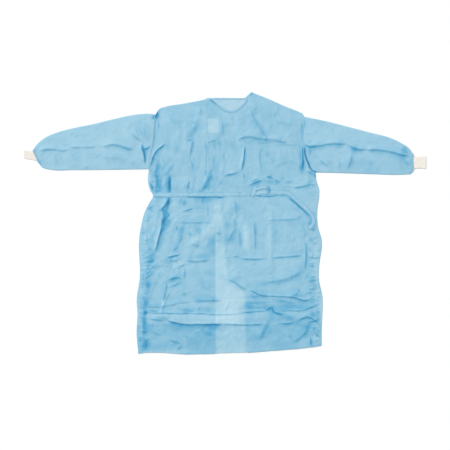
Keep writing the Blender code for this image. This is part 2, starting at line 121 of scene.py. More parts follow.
# One material and its nodes.
class Board:
    def __init__(self, name):
        self.material = bpy.data.materials.new(name)
        self.material.use_nodes = True
        self.tree = self.material.node_tree
        self.shader = self.tree.nodes["Principled BSDF"]

    def node(self, kind, settings, values, output=0):
        made = self.tree.nodes.new(kind)
        for key, value in settings.items():
            if key == "stops":
                stops = made.color_ramp.elements
                stops.remove(stops[-1])
                stops[0].position, stops[0].color = value[0]
                for place, colour in value[1:]:
                    stops.new(place).color = colour
            else:
                setattr(made, key, value)
        for key, value in values.items():
            self.set(made.inputs[key], value)
        return Wire(self, made.outputs[output])

    def set(self, socket, value):
        if isinstance(value, Wire):
            self.tree.links.new(value.socket, socket)
        else:
            socket.default_value = value

    def finish(self, **values):
        for key, value in values.items():
            self.set(self.shader.inputs[key], value)
        return self.material

    def place(self):
        return self.node("ShaderNodeTexCoord", {}, {}, "Object")

    # Noise with features about size millimetres across.
    def noise(self, place, size, detail=2.0, distortion=0.0):
        values = {"Vector": place, "Scale": 1000 / size, "Detail": detail, "Distortion": distortion}
        return self.node("ShaderNodeTexNoise", {}, values, "Fac")

    def span(self, value, low, high, lowOut=0.0, highOut=1.0):
        values = {0: value, 1: low, 2: high, 3: lowOut, 4: highOut}
        return self.node("ShaderNodeMapRange", {"interpolation_type": "SMOOTHSTEP"}, values)

    def bump(self, height, strength=1.0):
        values = {"Height": height, "Distance": mm, "Strength": strength}
        return self.node("ShaderNodeBump", {}, values, "Normal")


# A colour as seen on screen, turned into paint under this light.
def paint(red, green, blue, lightLevel=1.15):
    def linear(value):
        value = value / 255
        return value / 12.92 if value <= 0.04045 else ((value + 0.055) / 1.055) ** 2.4

    return tuple(min(linear(value) / lightLevel, 1) for value in (red, green, blue)) + (1,)


nonwoven = {
    "pale": (184, 219, 234),
    "usual": (151, 200, 223),
    "deeper": (117, 182, 213),
    "darkest": (80, 166, 206),
    "deepest": (40, 128, 178),
    "usualAt": 0.42,
    "deeperAt": 0.70,
    "deepestAt": 1.60,
    "mottleSize": 55,
    "mottle": 0.07,
    "grainSize": 5,
    "grain": 0.05,
    "wrinkleSize": 17,
    "wrinkleRise": 0.30,
    "dotSpacing": 2.3,
    "dotDepth": 0.05,
    "fibreSize": 0.9,
    "fibreRise": 0.03,
    "roughness": 0.6,
}


def makeNonwoven(name, s):
    board = Board(name)
    place = board.place()
    tone = board.node("ShaderNodeAttribute", {"attribute_name": "tone"}, {}, "Fac")
    mottle = board.noise(place, s["mottleSize"], 3) - 0.5
    grain = board.noise(place, s["grainSize"], 3) - 0.5
    fibre = board.noise(place, s["fibreSize"], 3, 1.4)
    values = {"Vector": place, "Scale": 1000 / s["dotSpacing"], "Randomness": 0.12}
    dots = board.node("ShaderNodeTexVoronoi", {}, values, "Distance")
    pit = board.span(dots, 0.20, 0.34, 1.0, 0.0)
    shade = tone + s["mottle"] * mottle + s["grain"] * grain + 0.04 * pit + 0.03 * (fibre - 0.5)
    whole = s["deepestAt"]
    stops = [
        (0.0, paint(*s["pale"])),
        (s["usualAt"] / whole, paint(*s["usual"])),
        (s["deeperAt"] / whole, paint(*s["deeper"])),
        (1 / whole, paint(*s["darkest"])),
        (1.0, paint(*s["deepest"])),
    ]
    fraction = shade * (1 / whole)
    colour = board.node("ShaderNodeValToRGB", {"stops": stops}, {"Fac": fraction}, "Color")
    bend = board.noise(place, s["wrinkleSize"], 2, 0.6)
    wrinkle = 1 - abs(2 * bend - 1)
    height = s["wrinkleRise"] * wrinkle + s["fibreRise"] * fibre - s["dotDepth"] * pit
    roughness = s["roughness"] + 0.12 * mottle + 0.1 * grain
    normal = board.bump(height)
    shader = board.shader.inputs
    shader["Sheen Weight"].default_value = 0.04
    shader["Sheen Roughness"].default_value = 0.5
    shader["IOR"].default_value = 1.4
    return board.finish(**{"Base Color": colour, "Roughness": roughness, "Normal": normal})


knit = {
    "thread": (264, 259, 252),
    "grooveShade": (246, 235, 219),
    "loopLength": 1.6,
    "loopRise": 0.16,
    "fuzzSize": 0.7,
}


def makeKnit(name, s):
    board = Board(name)
    place = board.place()
    grooveShade = board.node("ShaderNodeAttribute", {"attribute_name": "tone"}, {}, "Fac")
    spread = board.node("ShaderNodeSeparateXYZ", {}, {0: place}, "X")
    slant = board.node("ShaderNodeSeparateXYZ", {}, {0: place}, "Y")
    turn = (spread + 0.35 * slant) * (2 * math.pi * 1000 / s["loopLength"])
    loops = board.node("ShaderNodeMath", {"operation": "SINE"}, {0: turn})
    fuzz = board.noise(place, s["fuzzSize"], 3)
    mottle = board.noise(place, 14, 2)
    # painted shade in the rib grooves (from the tone attribute) and between the loops
    shade = grooveShade + 0.08 * (loops * -1 + 1) + 0.25 * (fuzz - 0.5) + 0.2 * (mottle - 0.5)
    stops = [(0.0, paint(*s["thread"])), (1.0, paint(*s["grooveShade"]))]
    colour = board.node("ShaderNodeValToRGB", {"stops": stops}, {"Fac": shade}, "Color")
    normal = board.bump(s["loopRise"] * loops + 0.12 * fuzz)
    roughness = 0.82 + 0.15 * (fuzz - 0.5)
    board.shader.inputs["Sheen Weight"].default_value = 0.2
    return board.finish(**{"Base Color": colour, "Roughness": roughness, "Normal": normal})


plainFinishes = {
    "thread": {"light": (170, 210, 228), "dark": (132, 186, 214), "size": 1.2, "rise": 0.08},
    "tabCloth": {"light": (214, 230, 238), "dark": (190, 214, 228), "size": 2.0, "rise": 0.06},
    "floorPaper": {"light": (260, 260, 260), "dark": (258, 258, 259), "size": 40, "rise": 0.0},
}


def makePlain(name, s):
    board = Board(name)
    place = board.place()
    speck = board.noise(place, s["size"], 3)
    stops = [(0.3, paint(*s["dark"])), (0.7, paint(*s["light"]))]
    colour = board.node("ShaderNodeValToRGB", {"stops": stops}, {"Fac": speck}, "Color")
    roughness = 0.7 + 0.15 * (speck - 0.5)
    normal = board.bump(s["rise"] * speck)
    return board.finish(**{"Base Color": colour, "Roughness": roughness, "Normal": normal})


finishes = {"nonwoven": makeNonwoven("blueNonwoven", nonwoven), "knit": makeKnit("ribKnit", knit)}
for finishName, finishSizes in plainFinishes.items():
    finishes[finishName] = makePlain(finishName, finishSizes)
print("materials made:", len(finishes))


def layFloor(s):
    half = s["floorSize"] * mm / 2
    low = -s["floorBelow"] * mm
    corners = [(-half, -half, low), (half, -half, low), (half, half, low), (-half, half, low)]
    mesh = bpy.data.meshes.new("studioFloor")
    mesh.from_pydata(corners, [], [(0, 1, 2, 3)])
    mesh.materials.append(finishes["floorPaper"])
    floor = bpy.data.objects.new("studioFloor", mesh)
    bpy.context.scene.collection.objects.link(floor)


layFloor(studio)

# The gown's outline, as points (x, y)

outline = {
    "leftSide": [
        (-309, 485), (-315, 410), (-321, 349), (-335, 276), (-339, 242), (-342, 178), (-333, 148),
        (-319, 124), (-336, 94), (-360, 42), (-375, -20), (-382, -68), (-379, -240), (-393, -350),
        (-390, -385), (-393, -490), (-386, -579),
    ],
    "rightSide": [
        (352, 475), (349, 407), (347, 372), (350, 342), (353, 305), (365, 270), (383, 237), (401, 227), (405, 200),
        (412, 174), (420, 146), (419, 120), (411, 60), (414, -15), (430, -72), (418, -200), (418, -250),
        (433, -322), (430, -470), (430, -543),
    ],
    "leftShoulder": [(-309, 485), (-291, 510), (-262, 520), (-184, 533), (-92, 551), (-65, 557)],
    "neckline": [
        (-65, 557), (-40, 536), (-16, 516), (2, 504), (27, 500), (50, 505), (68, 519), (88, 541),
        (97, 558),
    ],
    "rightShoulder": [
        (118, 584), (130, 579), (191, 555), (267, 521), (325, 498), (345, 488), (352, 475),
    ],
    "hem": [
        (-386, -579), (-360, -575), (-167, -581), (-60, -579), (-10, -576), (102, -573), (227, -564),
        (378, -551), (430, -543),
    ],
    # y, free edge of the left back panel, free edge of the right one
    "opening": [
        (558, -11, -84), (380, -13, -80), (122, -27, -27), (40, -33, -16), (-20, -38, -4),
        (-95, -42, 2), (-200, -42, 4), (-240, -42, 12), (-262, -42, 36), (-285, -42, 66),
        (-304, -42, 84), (-331, -42, 90), (-440, -42, 88), (-576, -42, 102),
    ],
}


def smooth(t):
    t = np.clip(t, 0, 1)
    return t * t * (3 - 2 * t)


# A rounded line through points, whose ends stay where they are.
def smoothLine(points, stepsEach=6):
    p = np.array(points, float)
    if len(p) < 3:
        return p
    gaps = np.linalg.norm(np.diff(p, axis=0), axis=1)
    slopes = np.diff(p, axis=0) / gaps[:, None]
    lean = np.empty_like(p)
    lean[0], lean[-1] = slopes[0], slopes[-1]
    lean[1:-1] = slopes[:-1] * gaps[1:, None] + slopes[1:] * gaps[:-1, None]
    lean[1:-1] /= (gaps[:-1] + gaps[1:])[:, None]
    line = [p[0]]
    for i, gap in enumerate(gaps):
        for t in np.linspace(0, 1, stepsEach + 1)[1:]:
            start = (2 * t**3 - 3 * t**2 + 1) * p[i] + (t**3 - 2 * t**2 + t) * gap * lean[i]
            end = (3 * t**2 - 2 * t**3) * p[i + 1] + (t**3 - t**2) * gap * lean[i + 1]
            line.append(start + end)
    return np.array(line)


# The same line with points a step apart.
def evenLine(line, step):
    lengths = np.concatenate([[0], np.cumsum(np.linalg.norm(np.diff(line, axis=0), axis=1))])
    at = np.linspace(0, lengths[-1], max(2, round(lengths[-1] / step) + 1))
    return np.stack([np.interp(at, lengths, line[:, i]) for i in range(line.shape[1])], -1)


def directions(line):
    along = np.gradient(line, axis=0)
    return along / np.linalg.norm(along, axis=1)[:, None]


# An edge as a function of a fraction, even along x (0) or y (1).
def edge(line, along, start=None, end=None, shift=0.0):
    order = np.argsort(line[:, along], kind="stable")
    run, other = line[order, along], line[order, 1 - along]
    start = line[0, along] if start is None else start
    end = line[-1, along] if end is None else end

    def at(t):
        here = start + (end - start) * np.asarray(t, float)
        pair = [np.interp(here, run, other) + shift, here]
        return np.stack(pair if along == 1 else pair[::-1], -1)

    return at


# Plan points of a panel between its four edges, a row for each v from top to foot.
def spread(us, vs, top, foot, left, right):
    u, v = np.meshgrid(us, vs)
    t, f, l, r = top(u), foot(u), left(v), right(v)
    u, v = u[..., None], v[..., None]
    corners = (1 - u) * (1 - v) * top(0) + u * (1 - v) * top(1)
    corners = corners + (1 - u) * v * foot(0) + u * v * foot(1)
    return (1 - v) * t + v * f + (1 - u) * l + u * r - corners


# Fractions along a length: fine steps at both ends and even ones between.
def fineEnds(length, step, ends, count=None):
    fine = np.array(ends[:-1], float)
    steps = round((length - 2 * ends[-1]) / step) + 1 if count is None else count - 2 * len(fine)
    inner = np.linspace(ends[-1], length - ends[-1], steps)
    return np.concatenate([fine, inner, length - fine[::-1]]) / length


def snapped(values, marks):
    values = np.array(values)
    for mark in marks:
        values[np.argmin(np.abs(values - mark))] = mark
    return np.sort(values)


def openingEdges(y):
    rows = np.array(outline["opening"], float)[::-1]
    return np.interp(y, rows[:, 0], rows[:, 1]), np.interp(y, rows[:, 0], rows[:, 2])


# How far the right back panel is lifted onto the left one, 0 to 1.
def lap(x, y, flat=40, slope=40):
    leftFree, _ = openingEdges(y)
    return 1 - smooth((x - leftFree - flat) / slope)


# Rounds a sheet down to its edge: 0 at the edge, 1 beyond the radius.
def rollOff(fromEdge, radius):
    t = np.clip(1 - fromEdge / radius, 0, 1)
    return np.sqrt(1 - t * t)


# Crumpling

# Smooth noise from -1 to 1, its bumps about a cell across.
def cloud(x, y, cell, seed):
    table = np.random.default_rng(seed).uniform(-1, 1, (128, 128))
    column, row = np.floor(x / cell).astype(int), np.floor(y / cell).astype(int)
    s, t = smooth(x / cell - column), smooth(y / cell - row)

    def corner(i, j):
        return table[(column + i) % 128, (row + j) % 128]

    low = corner(0, 0) * (1 - s) + corner(1, 0) * s
    high = corner(0, 1) * (1 - s) + corner(1, 1) * s
    return low * (1 - t) + high * t


# Flat facets that meet in sharp lines: 0 on the lines, up to about 1 inside a facet.
def facets(x, y, cell, seed):
    table = np.random.default_rng(seed).uniform(0, 1, (2, 128, 128))
    column, row = np.floor(x / cell).astype(int), np.floor(y / cell).astype(int)
    nearest = np.full(x.shape, 9.0)
    second = np.full(x.shape, 9.0)
    for i in (-1, 0, 1):
        for j in (-1, 0, 1):
            c, r = column + i, row + j
            toX = c + table[0][c % 128, r % 128] - x / cell
            toY = r + table[1][c % 128, r % 128] - y / cell
            away = np.hypot(toX, toY)
            second = np.minimum(second, np.maximum(nearest, away))
            nearest = np.minimum(nearest, away)
    return second - nearest


crumpling = {
    # cell, rise, seed
    "facets": [(74, 1.3, 11), (41, -1.2, 12), (22, 0.55, 13)],
    "clouds": [(120, 0.7, 21), (48, 0.3, 22)],
    "warp": 0.35,
    "toneClouds": [(90, 0.05, 31), (34, 0.05, 32), (15, 0.035, 33), (8, 0.03, 34)],
}


def crumple(x, y, s, seed=0):
    height = np.zeros_like(x)
    for cell, rise, own in s["facets"]:
        shiftX = s["warp"] * cell * cloud(x, y, cell * 0.8, seed + own + 40)
        shiftY = s["warp"] * cell * cloud(x, y, cell * 0.8, seed + own + 80)
        height += rise * (facets(x + shiftX, y + shiftY, cell, seed + own) - 0.35)
    for cell, rise, own in s["clouds"]:
        height += rise * cloud(x, y, cell, seed + own)
    return height


# Soft uneven tone of the same cloth.
def blotches(x, y, s, seed=0):
    return sum(rise * cloud(x, y, cell, seed + own) for cell, rise, own in s["toneClouds"])


# Height and painted shade that creases give. A crease is steep on the right of its line, with a thin
# painted dark trace along the foot of that side that fades outwards; one that goes down is dark along
# its middle. This darkening is painted shade, and also the deeper blue of cloth lying double. A sharp
# line gets a painted highlight on its crest. Its path, depth and trace are all a little uneven.
def creaseRelief(x, y, rows, seed=5, core=2.1, sway=0.9):
    random = np.random.default_rng(seed)
    height, dark = np.zeros_like(x), np.zeros_like(x)
    for name, points, width, rise, lean, trace, shade in rows:
        line = evenLine(smoothLine(points), 3)
        along = directions(line)
        fractions = np.linspace(0, 1, len(line))
        whole = 3 * (len(line) - 1)
        run, still = fractions * whole, np.zeros(len(line))
        wander = sway * (0.25 if name.startswith("packed") else 1)
        drift = wander * cloud(run, still, 21, random.integers(1, 9999))
        line = line + np.stack([-along[:, 1], along[:, 0]], -1) * drift[:, None]
        rough = cloud(run, still, 33, random.integers(1, 9999))
        broken = cloud(run, still, 17, random.integers(1, 9999))
        reach = 3 * width
        low, high = line.min(0) - reach, line.max(0) + reach
        near = (x > low[0]) & (x < high[0]) & (y > low[1]) & (y < high[1])
        if not near.any():
            continue
        px, py = x[near], y[near]
        k = ((px[:, None] - line[:, 0]) ** 2 + (py[:, None] - line[:, 1]) ** 2).argmin(1)
        across = along[k, 0] * (py - line[k, 1]) - along[k, 1] * (px - line[k, 0])
        fraction = fractions[k]
        taper = min(0.48, max(0.08, 36 / whole))
        ends = smooth(fraction / taper) * smooth((1 - fraction) / taper)
        point = 0.3 + 0.7 * ends  # a crease narrows to its ends
        uneven = 1 + 0.35 * rough[k]
        side = np.where(across > 0, width, width * (1 - lean)) * (0.75 + 0.25 * uneven) * point
        height[near] += rise * uneven * ends * np.exp(-((np.abs(across) / side) ** 1.3))
        foot = -0.7 * width * (1 - lean) if rise > 0 and shade >= 0 else 0
        past = across - foot * point
        thin = core + 0.5 * smooth(trace)
        broad = np.where(past < 0, 0.95 * width, 0.55 * width) if shade > 0 else width
        broad = broad * point * (1 + 0.3 * broken[k])
        strength = np.clip(0.85 + 0.32 * broken[k] + 0.15 * rough[k], 0.15, 1.4)
        dark[near] += trace * strength * ends * np.exp(-((past / thin) ** 2))
        dark[near] += shade * (0.9 + 0.4 * rough[k]) * ends * np.exp(-((past / broad) ** 2))
        dark[near] += 0.22 * shade * ends * np.exp(-((across / (2.2 * width)) ** 2))
        # a painted highlight on the crest beside a sharp line
        if trace > 0.2:  # the crest beside a sharp line is pale
            dark[near] -= 0.10 * trace * ends * np.exp(-(((past - 5) / 3.5) ** 2))
    return height, dark


# Small creases scattered over an area, turned mostly one way.
def strayCreases(count, area, heading, seed, longest=70):
    random = np.random.default_rng(seed)
    rows = []
    for _ in range(count):
        x, y = random.uniform(area[0], area[1]), random.uniform(area[2], area[3])
        angle = math.radians(heading + random.normal(0, 32))
        length, bend = random.uniform(16, longest), random.uniform(-0.18, 0.18)
        dx, dy = math.cos(angle) * length / 2, math.sin(angle) * length / 2
        points = [(x - dx, y - dy), (x - dy * bend, y + dx * bend), (x + dx, y + dy)]
        width, rise = random.uniform(4, 11), random.uniform(0.3, 1.2)
        trace, shade = random.uniform(0, 0.16), random.uniform(-0.05, 0.10)
        rows.append(("stray", points, width, rise, 0.4, trace, shade))
    return rows


def softBox(x, y, row):
    _, cx, cy, halfX, halfY, softness, _ = row
    insideX = smooth((halfX - np.abs(x - cx)) / softness + 0.5)
    return insideX * smooth((halfY - np.abs(y - cy)) / softness + 0.5)


# Painted shade on one side of a line (painted light where the darkness is negative), as rows: name,
# points, reach to the line's left (or right, if negative), darkness. It starts sharply at the line and fades beyond the
# reach.
def fills(x, y, rows, seed=111):
    random = np.random.default_rng(seed)
    dark = np.zeros_like(x)
    for name, points, reach, darkness in rows:
        line = evenLine(smoothLine(points), 3)
        along = directions(line)
        far = 1.7 * abs(reach) + 6
        low, high = line.min(0) - far, line.max(0) + far
        near = (x > low[0]) & (x < high[0]) & (y > low[1]) & (y < high[1])
        px, py = x[near], y[near]
        k = ((px[:, None] - line[:, 0]) ** 2 + (py[:, None] - line[:, 1]) ** 2).argmin(1)
        dx, dy = px - line[k, 0], py - line[k, 1]
        across = (along[k, 0] * dy - along[k, 1] * dx) * math.copysign(1, reach)
        past = np.abs(along[k, 0] * dx + along[k, 1] * dy)
        run = k * 3.0
        rough = cloud(run, np.zeros(len(run)), 24, random.integers(1, 9999))
        own = abs(reach) * (1 + 0.3 * rough)
        taper = max(3.0, min(30.0, 0.3 * 3 * len(line)))
        ends = smooth((run + 3) / taper) * smooth((3 * len(line) - run) / taper)
        body = np.exp(-((np.maximum(across, 0) / own) ** 2.4)) * smooth(across / 4.4 + 0.5)
        grain = 1 + 0.3 * cloud(px, py, 13, random.integers(1, 9999))
        dark[near] += darkness * ends * grain * body * np.exp(-((past / 6) ** 2))
    return dark


# Fine creasing that runs one way over an area, with painted shade along it, as rows: name, x, y,
# half width, half height, softness, heading in degrees, length, spacing, rise, darkness
def streaks(x, y, rows, seed=91):
    height, dark = np.zeros_like(x), np.zeros_like(x)
    for k, (name, cx, cy, halfX, halfY, softness, heading, length, spacing, rise, darkness) in enumerate(rows):
        mask = softBox(x, y, (name, cx, cy, halfX, halfY, softness, 0))
        near = mask > 0.01
        px, py, turn, own = x[near], y[near], math.radians(heading), seed + 7 * k
        bend = 1.6 * spacing * cloud(px, py, length * 0.9, own)
        along = (px * math.cos(turn) + py * math.sin(turn)) / length
        across = (py * math.cos(turn) - px * math.sin(turn) + bend) / spacing
        broad = cloud(along, across, 1, own + 1)
        ridge = 1 - np.abs(cloud(along * 1.2, across * 0.8, 1, own + 2))
        patchy = 0.6 + 0.6 * cloud(px, py, length * 0.8, own + 3)
        sharp = np.clip(ridge, 0, 1) ** 9 - 0.2
        height[near] += rise * mask[near] * patchy * (broad + 0.5 * sharp)
        dark[near] += darkness * mask[near] * patchy * (broad + 1.3 * sharp)
    return height, dark


# Mesh making

def gridFaces(rows, columns, wrap=False, flip=False):
    r, c = np.meshgrid(
        np.arange(rows - 1), np.arange(columns if wrap else columns - 1), indexing="ij"
    )
    nextC = (c + 1) % columns
    loop = [r * columns + c, (r + 1) * columns + c, (r + 1) * columns + nextC, r * columns + nextC]
    faces = np.stack(loop[::-1] if flip else loop, -1)
    return faces.reshape(-1, 4)


def addPiece(name, points, faces, finish, tone=None):
    mesh = bpy.data.meshes.new(name)
    faces = faces if isinstance(faces, list) else faces.tolist()
    mesh.from_pydata((np.asarray(points).reshape(-1, 3) * mm).tolist(), [], faces)
    if tone is not None:
        values = np.clip(np.asarray(tone, np.float32).ravel(), 0, 1.6)
        mesh.attributes.new("tone", "FLOAT", "POINT").data.foreach_set("value", values)
    mesh.materials.append(finishes[finish])
    mesh.shade_smooth()
    piece = bpy.data.objects.new(name, mesh)
    bpy.context.scene.collection.objects.link(piece)
    return piece


# A sheet of cloth whose upper face passes through a grid of points.
def addSheet(name, points, wall, finish, tone, wrap=False, flip=False):
    rows, columns = points.shape[:2]
    piece = addPiece(name, points, gridFaces(rows, columns, wrap, flip), finish, tone)
    thick = piece.modifiers.new("cloth", "SOLIDIFY")
    thick.thickness = wall * mm
    thick.offset = -1
    return piece


# A large sheet whose under side has a point for every fourth one above, to save faces.
def addLinedSheet(name, points, wall, finish, tone, every=4):
    rows, columns = points.shape[:2]
    low = points[::every, ::every].copy()
    shape = low.shape[:2]
    for i in range(shape[0]):
        for j in range(shape[1]):
            r, c = i * every, j * every
            around = points[max(r - 3, 0):r + 4, max(c - 3, 0):c + 4, 2]
            low[i, j, 2] = max(around.min() - wall, 0.05)
    start = rows * columns
    faces = gridFaces(rows, columns).tolist()
    faces += (gridFaces(*shape, flip=True) + start).tolist()
    top = np.arange(start).reshape(rows, columns)
    under = start + np.arange(shape[0] * shape[1]).reshape(shape)
    rims = [
        (top[0, ::-1], under[0, ::-1]), (top[-1], under[-1]),
        (top[:, 0], under[:, 0]), (top[::-1, -1], under[::-1, -1]),
    ]
    for above, below in rims:
        for i in range(len(below) - 1):
            upper = above[i * every:(i + 1) * every + 1]
            faces.append((below[i + 1], upper[-1], *upper[-2::-1], below[i]))
    whole = np.concatenate([points.reshape(-1, 3), low.reshape(-1, 3)])
    tones = np.concatenate([tone.ravel(), tone[::every, ::every].ravel()])
    return addPiece(name, whole, faces, finish, tones)


# A finder of the highest cloth under a plan point, in millimetres.
def heightFinder(pieces):
    bpy.context.view_layer.update()
    graph = bpy.context.evaluated_depsgraph_get()
    trees = [BVHTree.FromObject(piece, graph) for piece in pieces]

    def find(x, y):
        start, best = Vector((x * mm, y * mm, 1)), None
        for tree in trees:
            hit = tree.ray_cast(start, Vector((0, 0, -1)))[0]
            if hit is not None and (best is None or hit.z > best):
                best = hit.z
        return 0.0 if best is None else best / mm

    return find


# Front panel

front = {
    "wall": 0.6,
    "solidWall": 1.2,
    "layer": 1.5,
    "columns": 257,
    "rows": 329,
    "crown": 2.2,
    "crownReach": 0.07,
    "edgeRadius": 6,
    "edgeHeight": 0.8,
    "armholeHeight": 4.5,
    "shoulderRadius": 5,
    "beltHold": 0.75,
    "beltHoldReach": 17,
    "tone": 0.42,
    "strayCount": 150,
    "tab": (-51.5, 435, 24.5, 31),
    "flat": (0.83, 1.16),
    "area": 0.85,
}

swells = [
    # x, y, half length along x, half length along y, rise
    (-190, 380, 110, 120, 2.2), (205, 370, 120, 120, 2.4), (10, 0, 250, 110, 1.6),
    (-270, -90, 100, 130, 2.2), (290, -90, 100, 140, 2.4), (0, -250, 300, 80, 1.6),
    (0, -505, 320, 55, 1.8),
]

